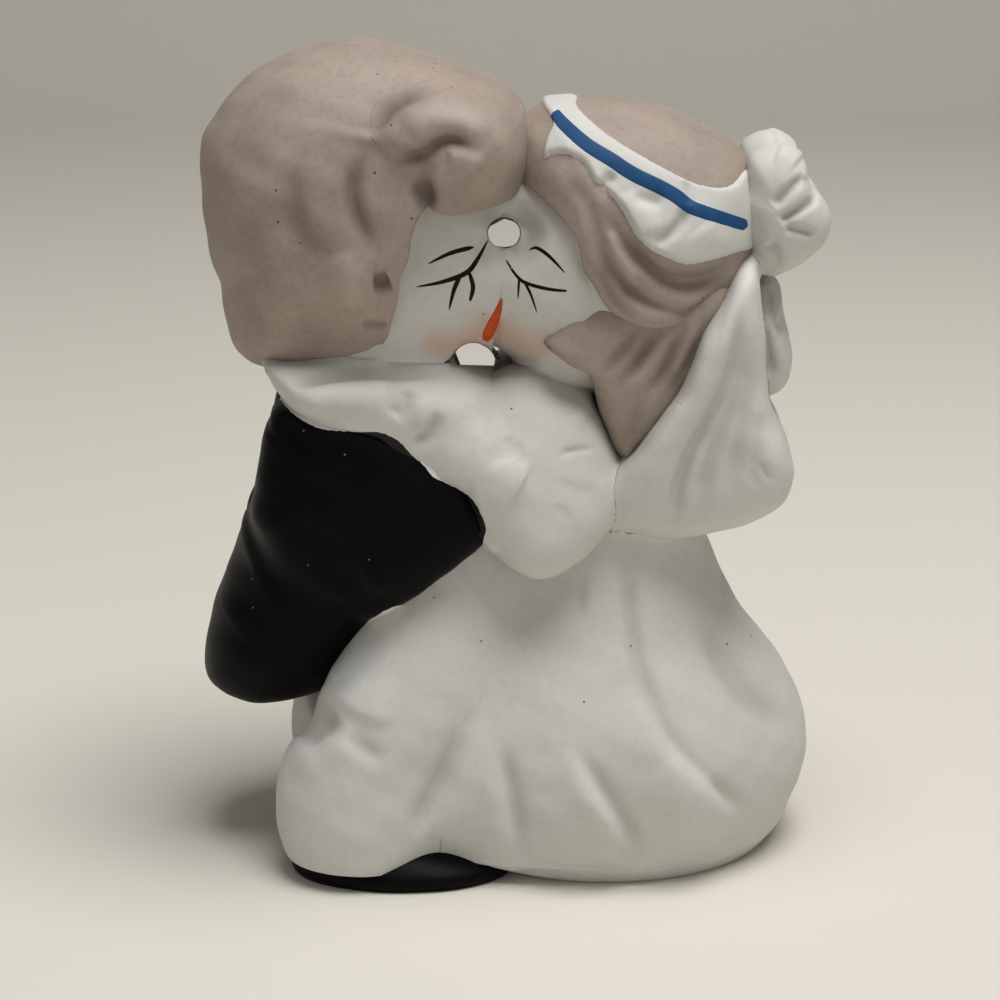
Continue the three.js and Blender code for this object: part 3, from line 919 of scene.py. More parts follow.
    def build(self, side: Side) -> bpy.types.Object:
        """Make the piece's mesh, with attributes for the painted shade of its grooves, the paler colour of
        its ridges, its bare clay and its blush.

        Args:
            side: Side of a paired piece.

        Returns:
            The new object.
        """
        around, rings = self.fineness.value
        v, u = np.meshgrid(np.linspace(0, 1, rings + 1), np.arange(around) / around, indexing="ij")
        points, lift = self.work(u, v, side)
        if side is Side.FRONT:
            self.front = points
        made = closed_mesh(self.names[side] + "_clay", points)
        relief = np.concatenate((lift[:1, 0], lift[1:-1].ravel(), lift[-1:, 0])) / FULL_RELIEF
        # Grooves carry the painted shade; ridges carry the paler colour of wear and a painted highlight.
        attribute(made, "groove_shade", np.clip(-relief, 0, 1))
        attribute(made, "ridge_wear_and_highlight", np.clip(relief, 0, 1))
        pixels = VIEW.pixels(coordinates(made) / MM)
        if self.paint:
            attribute(made, "bare", -Window(self.paint, 0.0, ragged=0.05).within(pixels))
        if self.blush:
            dust = sum(stroke.relief(pixels) for stroke in self.blush)
            attribute(made, "blush", np.clip(dust, 0.0, MOST_BLUSH))
        return made


def coordinates(made: bpy.types.Object) -> Array:
    """Read a mesh's corners back.

    Args:
        made: A piece.

    Returns:
        (n, 3) corners in metres.
    """
    found = np.empty(3 * len(made.data.vertices), np.float32)
    made.data.vertices.foreach_get("co", found)
    return found.reshape(-1, 3).astype(float)


def attribute(made: bpy.types.Object, name: str, values: Array) -> None:
    """Store a number for each corner of a mesh."""
    layer = made.data.attributes.new(name, "FLOAT", "POINT")
    layer.data.foreach_set("value", np.asarray(values, np.float32))


def closed_mesh(name: str, grid: Array) -> bpy.types.Object:
    """Skin a grid of points whose first and last rows are poles, facing out.

    Args:
        name: Name of the new piece.
        grid: (rows, around, 3) points in millimetres; each row closes on itself.

    Returns:
        The new object, at the origin.
    """
    rows, around = grid.shape[:2]
    corners = np.concatenate((grid[:1, 0], grid[1:-1].reshape(-1, 3), grid[-1:, 0])) * MM
    ring = 1 + np.arange((rows - 2) * around).reshape(rows - 2, around)
    turned = np.roll(ring, -1, 1)
    quads = np.stack((ring[:-1], turned[:-1], turned[1:], ring[1:]), -1).reshape(-1, 4)
    first = np.stack((np.zeros(around, int), turned[0], ring[0]), -1)
    last = np.stack((np.full(around, len(corners) - 1), ring[-1], turned[-1]), -1)
    split = np.concatenate((quads[:, :3], quads[:, [0, 2, 3]], first, last))
    a, b, c = (corners[split[:, k]] for k in range(3))
    if (a * np.cross(b, c)).sum() < 0:
        quads, first, last = quads[:, ::-1], first[:, ::-1], last[:, ::-1]
    loops = np.concatenate((quads.ravel(), first.ravel(), last.ravel()))
    sizes = np.concatenate((np.full(len(quads), 4), np.full(2 * around, 3)))
    mesh = bpy.data.meshes.new(name)
    mesh.vertices.add(len(corners))
    mesh.vertices.foreach_set("co", corners.astype(np.float32).ravel())
    mesh.loops.add(len(loops))
    mesh.loops.foreach_set("vertex_index", loops.astype(np.int32))
    mesh.polygons.add(len(sizes))
    mesh.polygons.foreach_set("loop_start", np.concatenate(([0], np.cumsum(sizes)[:-1])).astype(np.int32))
    mesh.polygons.foreach_set("use_smooth", np.ones(len(sizes), bool))
    mesh.update(calc_edges=True)
    made = bpy.data.objects.new(name, mesh)
    bpy.context.scene.collection.objects.link(made)
    return made


@dataclass(frozen=True)
class Brush:
    """A brush line of enamel, laid as a thin skin on the clay that it crosses.

    Across the line the skin is a low crown that sinks into the clay at its edges. Along it the width swells
    from the given share at the start to the full width and back to the share at the end, as a power of a
    sine.
    """

    name: str
    trace: Trace
    width: float  # widest, in millimetres
    start: float = 0.1
    end: float = 0.1
    belly: float = 0.5  # where along the line it is widest
    thick: float = 0.05
    tip: float = 0.02  # share of the length over which each end rounds off
    tip_start: float = 0.1  # how far the rounding has come at the very end
    fullness: float = 0.8  # power of the sine

    def lay(self, clays: list[Clay], side: Side, aside: float = 0.0) -> bpy.types.Object:
        """Lay the line on the clay that lies nearest to the camera.

        Args:
            clays: The pieces that the line may cross.
            side: Side of the figure that is painted.
            aside: Pixels by which the line is moved to the right.

        Returns:
            The new object.
        """
        steps, around = BRUSH_STEPS
        middle = smooth(np.array(self.trace, float), steps) + (aside, 0.0)
        run = np.gradient(middle, axis=0)
        across = np.stack((run[:, 1], -run[:, 0]), 1) / np.linalg.norm(run, axis=1, keepdims=True)
        share = np.linspace(0, 1, steps)
        ends = np.where(share < self.belly, self.start, self.end)
        swell = np.where(share < self.belly, share / self.belly, (1 - share) / (1 - self.belly))
        swell = np.sin(swell * math.pi / 2) ** self.fullness
        half = self.width / 2 / VIEW.scale * (ends + (1 - ends) * swell)
        half = half * ease(np.minimum(share, 1 - share) / self.tip + self.tip_start)
        turn = 2 * math.pi * np.arange(around) / around
        places = middle[:, None] + (half[:, None] * np.cos(turn))[..., None] * across[:, None]
        flat = places.reshape(-1, 2)
        found = np.stack([clay.find(flat) for clay in clays])
        ahead = found[found[..., 1].argmin(0), np.arange(len(flat))].reshape(steps, around, 3)
        sight = np.array((0.0, -VIEW.tilt[1], VIEW.tilt[0]))
        crown = np.sin(turn) * self.thick
        rings = ahead + crown[None, :, None] * sight
        poles = rings.mean(1, keepdims=True).repeat(around, 1)
        grid = np.concatenate((poles[:1], rings, poles[-1:]))
        if side is Side.BACK:
            grid = grid * (1, -1, 1)
        return closed_mesh(f"{self.name}_{side.value}", grid)


def linear(colour: str) -> tuple[float, float, float, float]:
    """Turn an sRGB hex colour into linear light."""
    parts = [int(colour[k : k + 2], 16) / 255 for k in (1, 3, 5)]
    return (*(c / 12.92 if c <= 0.04045 else ((c + 0.055) / 1.055) ** 2.4 for c in parts), 1.0)


def add(
    tree: bpy.types.NodeTree, kind: str, inputs: dict | None = None, **settings: object
) -> bpy.types.Node:
    """Add a node with its settings, and set or link its inputs.

    Args:
        tree: The material's nodes.
        kind: Type of the new node.
        inputs: Values, or sockets to link from, by the input's name or number.
        **settings: Properties of the node.

    Returns:
        The new node.
    """
    made = tree.nodes.new(kind)
    for name, value in settings.items():
        setattr(made, name, value)
    for name, value in (inputs or {}).items():
        if isinstance(value, bpy.types.NodeSocket):
            tree.links.new(value, made.inputs[name])
        else:
            made.inputs[name].default_value = value
    return made


@dataclass(frozen=True)
class Finish:
    """What every fired surface of the figure has: a colour that drifts, a grain and a few specks.

    Sizes and heights of the patterns are in millimetres.
    """

    name: str
    colour: str
    drift: str  # the colour that it drifts to
    speck: str
    groove_shade: str  # darker colour of the painted shade in grooves; on the hair it also stands for paint that pools there, and it mottles the surface at random
    ridge_wear_and_highlight: str  # paler colour on ridges: worn paint and a painted highlight where light catches them
    roughness: float
    ior: float
    rough_drift: float = 0.06  # how far the grain moves the roughness
    drift_size: float = 11.0
    mottle_size: float = 0.9
    mottle_range: tuple[float, float] = (0.48, 0.75)  # stretch of the noise that shows
    mottle_share: float = 0.12
    grain_size: float = 0.35  # coarser than the fired grit, so that it shows
    grain_height: float = 0.02
    speck_spacing: float = 3.2
    speck_size: float = 0.045  # as a share of the spacing
    speckless: float = 0.72  # share of the spaces that have no speck
    # how strongly the painted groove shade shows at a groove's full depth
    hollow_share: float = 0.5
    # how strongly the paler ridge colour, wear and painted highlight, shows on a ridge
    crest_share: float = 0.0
    beyond: str = ""  # colour on the other side of the paint's edge
    beyond_side: float = 1.0  # 1 for the bare clay around paint, -1 for the paint on bare clay
    edge_sharpness: float = 25.0  # how fast the colour changes there, for each millimetre
    blush: str = ""  # colour that is dusted on

    def tint(self, tree: bpy.types.NodeTree, place: bpy.types.NodeSocket) -> bpy.types.NodeSocket:
        """Mix the colour from its drift, the painted shade of its grooves and the paler colour of its ridges,
        its bare patches and its specks.

        Args:
            tree: The material's nodes.
            place: Object coordinates, in metres.

        Returns:
            The colour.
        """
        clouds = (
            add(tree, "ShaderNodeTexNoise", {"Vector": place, "Scale": 1 / (MM * size), "Detail": detail})
            for size, detail in ((self.drift_size, 4.0), (self.mottle_size, 3.0))
        )
        drift, fine = (cloud.outputs["Fac"] for cloud in clouds)
        low, high = self.mottle_range
        mottle = add(tree, "ShaderNodeMapRange", {0: fine, 1: low, 2: high, 4: self.mottle_share})
        # The mottle borrows the groove shade's darker colour for patches at random.
        layers = [(drift, self.drift), (mottle.outputs[0], self.groove_shade)]
        # Painted shade darkens the grooves; the ridges turn paler, from wear and from a painted highlight.
        relief_shade_and_wear = (("groove_shade", self.hollow_share, self.groove_shade), ("ridge_wear_and_highlight", self.crest_share, self.ridge_wear_and_highlight))
        for name, share, shade in relief_shade_and_wear:
            relief = add(tree, "ShaderNodeAttribute", attribute_name=name).outputs["Fac"]
            part = add(tree, "ShaderNodeMath", {0: relief, 1: share}, operation="MULTIPLY")
            layers.append((part.outputs[0], shade))
        if self.beyond:
            edge = add(tree, "ShaderNodeAttribute", attribute_name="bare").outputs["Fac"]
            steep = {0: edge, 1: self.beyond_side * self.edge_sharpness}
            sharp = add(tree, "ShaderNodeMath", steep, operation="MULTIPLY", use_clamp=True)
            layers.append((sharp.outputs[0], self.beyond))
        if self.blush:
            dust = add(tree, "ShaderNodeAttribute", attribute_name="blush").outputs["Fac"]
            layers.append((dust, self.blush))
        cells = add(tree, "ShaderNodeTexVoronoi", {"Vector": place, "Scale": 1 / (MM * self.speck_spacing)})
        grit = {0: cells.outputs["Distance"], 1: self.speck_size}
        near = add(tree, "ShaderNodeMath", grit, operation="LESS_THAN")
        pick = add(tree, "ShaderNodeSeparateColor", {0: cells.outputs["Color"]})
        few = add(tree, "ShaderNodeMath", {0: pick.outputs[0], 1: self.speckless}, operation="GREATER_THAN")
        dot = add(tree, "ShaderNodeMath", {0: near.outputs[0], 1: few.outputs[0]}, operation="MULTIPLY")
        layers.append((dot.outputs[0], self.speck))
        colour: bpy.types.NodeSocket | tuple = linear(self.colour)
        for factor, other in layers:
            mix = add(tree, "ShaderNodeMix", {0: factor, 6: colour, 7: linear(other)}, data_type="RGBA")
            colour = mix.outputs[2]
        return colour

    def material(self) -> bpy.types.Material:
        """Make the material.

        Returns:
            The new material.
        """
        made = bpy.data.materials.new(self.name)
        made.use_nodes = True
        tree = made.node_tree
        tree.nodes.clear()
        place = add(tree, "ShaderNodeTexCoord").outputs["Object"]
        fine = {"Vector": place, "Scale": 1 / (MM * self.grain_size), "Detail": 3.0}
        grain = add(tree, "ShaderNodeTexNoise", fine).outputs["Fac"]
        rough = {0: grain, 3: self.roughness - self.rough_drift, 4: self.roughness + self.rough_drift}
        surface = {
            "Base Color": self.tint(tree, place),
            "Roughness": add(tree, "ShaderNodeMapRange", rough).outputs[0],
            "IOR": self.ior,
            "Normal": add(
                tree, "ShaderNodeBump", {"Height": grain, "Distance": MM * self.grain_height}
            ).outputs[0],
        }
        shader = add(tree, "ShaderNodeBsdfPrincipled", surface)
        add(tree, "ShaderNodeOutputMaterial", {"Surface": shader.outputs[0]})
        return made


# Bisque is porcelain fired without a glaze: matt and a little chalky, with painted shade in its grooves.
BISQUE = Finish(
    "bisque_porcelain",
    colour="#D2D1CC",
    drift="#C5C3BC",
    speck="#5A5148",
    groove_shade="#A0988A",
    ridge_wear_and_highlight="#E4E4E0",
    roughness=0.65,
    ior=1.42,
    hollow_share=0.3,
    beyond="#040405",
    beyond_side=-1.0,
    blush="#C98A5C",
)
# Hair is a thin matt wash of taupe ceramic paint: it pools darker in grooves, where painted shade darkens it
# further, and it is paler on ridges, partly from wear and partly a painted highlight.
HAIR = Finish(
    "taupe_ceramic_paint",
    colour="#AC9C8F",
    drift="#8E7F75",
    speck="#55463F",
    groove_shade="#4C3D35",
    ridge_wear_and_highlight="#CDC2B7",
    roughness=0.66,
    ior=1.5,
    drift_size=7.0,
    mottle_share=0.18,
    speck_spacing=2.4,
    speck_size=0.075,
    hollow_share=0.55,
    crest_share=0.35,
)
# The coat is a satin black enamel, fired on, with dust in its pinholes.
BLACK = Finish(
    "satin_black_enamel",
    colour="#040405",
    drift="#08080A",
    speck="#77756F",
    # painted shade in the coat's grooves
    groove_shade="#030303",
    ridge_wear_and_highlight="#121213",
    roughness=0.45,
    ior=1.16,
    speck_spacing=2.6,
    grain_height=0.012,
    beyond="#D2D1CC",
)
# The ribbon line is a wet blue enamel stroke, streaked by the brush.
BLUE = Finish(
    "blue_enamel",
    colour="#1E5080",
    drift="#153A62",
    speck="#102C4C",
    groove_shade="#1A4370",
    ridge_wear_and_highlight="#2F6899",
    roughness=0.6,
    ior=1.3,
    drift_size=2.5,
)
# Lashes and brows are a fine black line of overglaze paint.
INK = Finish(
    "black_face_paint",
    colour="#0C0B09",
    drift="#181510",
    speck="#0A0908",
    groove_shade="#0C0B09",
    ridge_wear_and_highlight="#1C1915",
    roughness=0.5,
    ior=1.2,
)
# The mouths share one brush stroke of orange red.
ROUGE = Finish(
    "orange_red_face_paint",
    colour="#D4581E",
    drift="#A63D14",
    speck="#7E2A0E",
    groove_shade="#A63D14",
    ridge_wear_and_highlight="#DE7A34",
    roughness=0.6,
    ior=1.35,
    drift_size=1.6,
)

FINISHES = {Slot.BISQUE: BISQUE, Slot.HAIR: HAIR, Slot.BLACK: BLACK, Slot.BLUE: BLUE, Slot.FACE: INK}


def half_box(node: str) -> tuple[Array, Array]:
    """Give the middle and the half sizes of a solid of the frame, in millimetres."""
    low, high = (np.array(corner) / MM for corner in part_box(node))
    return (low + high) / 2, (high - low) / 2


def past_line(edge: float, near: float, far: float) -> Trace:
    """Trace the region past an upright line, with closely set points that keep the line straight.

    Args:
        edge: Where the line stands, in pixels across.
        near: Where the region's top and bottom begin.
        far: Where its far side stands.

    Returns:
        The region.
    """
    line = ((edge, down) for down in range(120, 421, 50))
    return (*line, (near, 440), (far, 440), (far, 100), (near, 100))


CORE_SHARE = 0.82  # share of a hidden core's box that its clay fills
NOSE_HOLE = Press((504, 233), 2.15, (-1, 0))  # clears the groom's side
NOSE_HOLE_RIGHT = Press((504, 233), 2.15, (1, 0))  # clears the bride's side
CHIN_ARCH = Press((473, 366), 3.1, (0, 1))
CHIN_ARCH_RIGHT = Press((473, 366), 2.8, (0, 1))  # leaves the bride's chin over the arch's end
CHIN_FLOOR = Press((473, 366), 3.1, (0, -1), flat=True)


@dataclass
class Heads:
    """The two faces, pressed together, with the hole between the brows and the arch under the chins."""

    groom_half: tuple[float, float, float] = (18.0, 14.8, 17.0)
    bride_half: tuple[float, float, float] = (17.0, 14.4, 16.0)
    square: float = 2.5
    press: float = 3.4  # how far each face reaches past the kiss
    funnel: Trace = ((512, 216), (522, 230), (516, 246), (500, 254))
    jaw: Trace = ((528, 360), (552, 374), (584, 381), (597, 397))
    groom_brow: Trace = ((428, 264), (451, 253), (474, 247))
    groom_lid: Trace = ((416, 287), (442, 282), (466, 273), (477, 260), (488, 240))
    groom_lash: tuple[Trace, Trace] = (
        ((460, 276), (454, 290), (449, 310)),
        ((469, 272), (473, 287), (470, 301)),
    )
    bride_brow: Trace = ((529, 250), (537, 248), (550, 257), (565, 273))
    bride_lid: Trace = ((506, 260), (516, 275), (526, 283), (548, 289), (567, 291))
    bride_lash: tuple[Trace, Trace] = (
        ((519, 280), (518, 299)),
        ((525, 283), (531, 295), (537, 313)),
    )
    aside: float = 16.0  # pixels by which the back's lines clear the hole's end
    mouth: Trace = ((502, 299), (497, 314), (491, 328), (485, 341))
    groom_under: Trace = past_line(509, 560, 640)
    bride_under: Trace = past_line(499, 440, 360)
    cheek: tuple[Trace, Trace] = (
        ((420, 336), (440, 344), (462, 343), (482, 330), (495, 312)),
        ((496, 316), (506, 332), (530, 345), (556, 346)),
    )

    def clays(self) -> list[Clay]:
        """Give the two faces.

        Returns:
            The groom's face and the bride's.
        """
        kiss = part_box("groom_head")[1].x / MM
        groom_low, bride_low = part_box("groom_head")[0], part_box("bride_head")[0]
        groom = np.array((kiss + self.press - self.groom_half[0], 0.0, groom_low.z / MM + self.groom_half[2]))
        bride = np.array((kiss - self.press + self.bride_half[0], 0.0, bride_low.z / MM + self.bride_half[2]))
        # Besides sinking the clay, the dimple's depth lays painted shade in it.
        dimple = Stroke(self.funnel, width=2.4, height=-2.6, taper=0.0)
        blush = tuple(Stroke(trace, width=1.9, height=0.42, taper=0.15) for trace in self.cheek)
        jaw = Stroke(self.jaw, width=1.6, height=0.9)
        groom_holes, bride_holes = (NOSE_HOLE, CHIN_ARCH), (NOSE_HOLE_RIGHT, CHIN_ARCH_RIGHT)
        rows = (
            ("groom_head", groom, self.groom_half, (dimple,), self.groom_under, groom_holes),
            ("bride_head", bride, self.bride_half, (dimple, jaw), self.bride_under, bride_holes),
        )
        return [
            Clay(
                name,
                Pillow.oval(middle, np.array(half), self.square),
                Slot.BISQUE,
                Fineness.LARGE,
                marks,
                (Window(under, depth=0.3, ragged=0.0),),
                presses,
                blush=blush,
            )
            for name, middle, half, marks, under, presses in rows
        ]

    def ink(self) -> list[Brush]:
        """Give the painted brows, lids and lashes.

        Returns:
            The groom's four lines and the bride's.
        """
        return [
            Brush("groom_brow", self.groom_brow, 0.62, belly=0.75),
            Brush("groom_lid", self.groom_lid, 0.7, belly=0.55),
            Brush("groom_lash_long", self.groom_lash[0], 0.62, start=0.8, belly=0.3),
            Brush("groom_lash_short", self.groom_lash[1], 0.62, start=0.6, end=0.4, belly=0.5),
            Brush("bride_brow", self.bride_brow, 0.5, belly=0.5),
            Brush("bride_lid", self.bride_lid, 0.5, start=0.3, end=0.5, belly=0.6),
            Brush("bride_lash_short", self.bride_lash[0], 0.34, start=0.8, belly=0.2),
            Brush("bride_lash_long", self.bride_lash[1], 0.38, start=0.8, belly=0.3),
        ]

    def lips(self) -> Brush:
        """Give the mouth that the two share."""
        return Brush("mouth", self.mouth, 1.5, start=0.05, end=0.4, belly=0.75, thick=0.2)


@dataclass
class Hair:
    """The groom's bob and forelock, and the bride's crown, swoop and long tress."""

    bob: Trace = (
        (201, 162), (203, 135), (214, 112), (235, 82), (267, 57), (302, 42), (361, 31), (421, 46),
        (456, 64), (485, 82), (508, 103), (520, 117), (522, 150), (520, 182), (500, 225), (470, 270),
        (445, 310), (415, 342), (387, 354), (350, 365), (318, 369), (288, 371), (260, 366), (244, 355),
        (233, 339), (226, 314), (222, 284), (214, 261), (207, 227), (203, 192),
    )
    bob_window: Trace = (
        (523, 181), (510, 190), (490, 196), (467, 203), (440, 209), (424, 217), (415, 238), (412, 262),
        (404, 282), (402, 302), (396, 325), (388, 346), (376, 359), (400, 400), (560, 400), (560, 181),
    )
    forelock: Trace = (
        (372, 131), (384, 114), (400, 100), (423, 93), (451, 96), (480, 104), (505, 116), (519, 138),
        (520, 167), (503, 191), (467, 205), (436, 210), (420, 197), (405, 170), (388, 148),
    )
    cap: Trace = (
        (516, 122), (539, 100), (559, 93), (605, 91), (664, 101), (715, 124), (745, 150), (757, 190),
        (757, 235), (750, 275), (735, 310), (715, 345), (690, 370), (650, 385), (600, 380), (555, 350),
        (525, 300), (510, 240), (507, 180),
    )
    cap_window: Trace = (
        (500, 181), (517, 186), (531, 195), (554, 217), (572, 242), (579, 272), (591, 290), (598, 303),
        (606, 314), (617, 321), (632, 328), (648, 332), (670, 331), (693, 323), (713, 312), (726, 302),
        (740, 299), (790, 310), (790, 440), (470, 440), (470, 181),
    )
    tress: Trace = (
        (545, 343), (554, 331), (568, 318), (579, 314), (590, 300), (610, 286), (660, 286), (730, 280),
        (722, 325), (704, 366), (689, 390), (667, 422), (650, 443), (633, 460), (625, 465), (612, 451),
        (605, 430), (599, 410), (593, 386), (586, 372), (570, 365), (557, 355),
    )

    def clays(self) -> list[Clay]:
        """Give the four pieces of hair.

        Returns:
            Bob, forelock, crown and tress.
        """
        groom_strokes = (
            Stroke(
                ((371, 138), (359, 164), (352, 190), (358, 217), (370, 240), (379, 262)),
                1.3, -0.8, taper=0.4,
            ),
            Stroke(
                ((318, 138), (296, 172), (295, 215), (306, 240), (324, 258), (328, 300)),
                1.8, -0.5, taper=0.4,
            ),
            Stroke(((232, 122), (256, 102), (300, 88)), 1.6, -0.2, taper=0.4),
            Stroke(((250, 200), (256, 245), (262, 300)), 2.2, -0.2, taper=0.4),
            Stroke(((372, 284), (382, 283), (390, 280)), 1.2, -1.1),
            Stroke(((361, 325), (374, 327), (388, 326)), 0.6, -0.5),
            Stroke(((340, 250), (352, 280), (352, 310)), 2.2, 0.5),
            Stroke(((250, 300), (256, 320), (268, 345)), 1.5, -0.2),
            Stroke(((300, 310), (312, 335), (330, 348)), 1.8, -0.2),
            Stroke(((262, 355), (300, 361), (350, 356), (380, 345)), 1.6, 0.4),
            Stroke(((424, 150), (424, 175), (426, 205)), 1.5, -0.4),
            Stroke(((392, 151), (410, 158), (428, 151), (444, 141), (462, 143), (477, 158)), 1.0, -1.0),
            Stroke(((364, 138), (376, 124), (390, 106), (410, 96), (440, 97)), 1.1, -0.8, taper=0.35),
            Stroke(((421, 192), (426, 202)), 1.2, -1.6, taper=0.0),
            Stroke(((404, 132), (430, 122), (462, 122), (490, 136)), 2.2, 0.5),
            Stroke(((446, 158), (466, 156), (480, 170)), 1.6, 0.5),
        )
        cap_strokes = (
            Stroke(((612, 300), (646, 316), (669, 316), (692, 308), (718, 292)), 1.6, 0.6),
            Stroke(
                ((600, 200), (622, 240), (646, 267), (669, 283), (690, 288), (710, 283), (730, 271)),
                0.9, -0.8,
            ),
            Stroke(
                ((604, 250), (618, 277), (637, 297), (660, 309), (686, 311), (710, 302), (733, 284)),
                0.9, -0.8,
            ),
            Stroke(((560, 168), (588, 210), (601, 250), (611, 290)), 1.3, -0.45),
            Stroke(((592, 262), (606, 290), (630, 314), (660, 322), (690, 316), (716, 302)), 0.7, -0.35),
            Stroke(((625, 228), (650, 262), (676, 274), (706, 272), (732, 260)), 0.7, -0.4),
            Stroke(((575, 190), (590, 235), (598, 275)), 1.2, 0.35),
            Stroke(((609, 228), (620, 258), (640, 283)), 1.2, 0.5),
        )
        tress_strokes = (
            Stroke(((641, 318), (628, 343), (612, 362), (594, 376)), 0.8, -0.5, taper=0.45),
            Stroke(((662, 318), (648, 346), (632, 370), (606, 394)), 0.9, -0.7, taper=0.45),
            Stroke(((690, 316), (676, 346), (660, 378), (632, 404)), 0.9, -0.7, taper=0.45),
            Stroke(((712, 312), (698, 346), (681, 378), (650, 416)), 0.9, -0.6, taper=0.45),
            Stroke(((646, 396), (632, 422), (624, 450)), 1.0, -0.3, taper=0.45),
            Stroke(((654, 350), (640, 374), (620, 396)), 0.9, 0.3, taper=0.45),
        )
        lock = partial(Clay, slot=Slot.HAIR, soft=0.0, uneven=0.12)
        return [
            lock(
                "groom_hair",
                Pillow.traced(self.bob, y=0.0, deep=19.5, square=2.2, blunt=(-20.0, 3.2)),
                fineness=Fineness.LARGE,
                strokes=groom_strokes,
                windows=(Window(self.bob_window, depth=6.0, edge=0.7, ragged=0.03),),
                presses=(NOSE_HOLE,),
            ),
            lock(
                "groom_fringe",
                Pillow.raised(self.forelock, deep=20.0, square=4.5, edge=16.5),
                strokes=groom_strokes,
                presses=(NOSE_HOLE,),
                uneven=0.1,
            ),
            lock(
                "bride_hair",
                Pillow.traced(self.cap, y=0.0, deep=17.2, square=2.2),
                fineness=Fineness.LARGE,
                strokes=cap_strokes,
                windows=(Window(self.cap_window, depth=5.0, edge=0.7, ragged=0.03),),
                presses=(NOSE_HOLE_RIGHT,),
            ),
            lock(
                "bride_long_hair",
                Pillow.raised(self.tress, deep=15.2, square=4.5, edge=12.5, blunt=(165.0, 8.0)),
                strokes=tress_strokes,
            ),
        ]


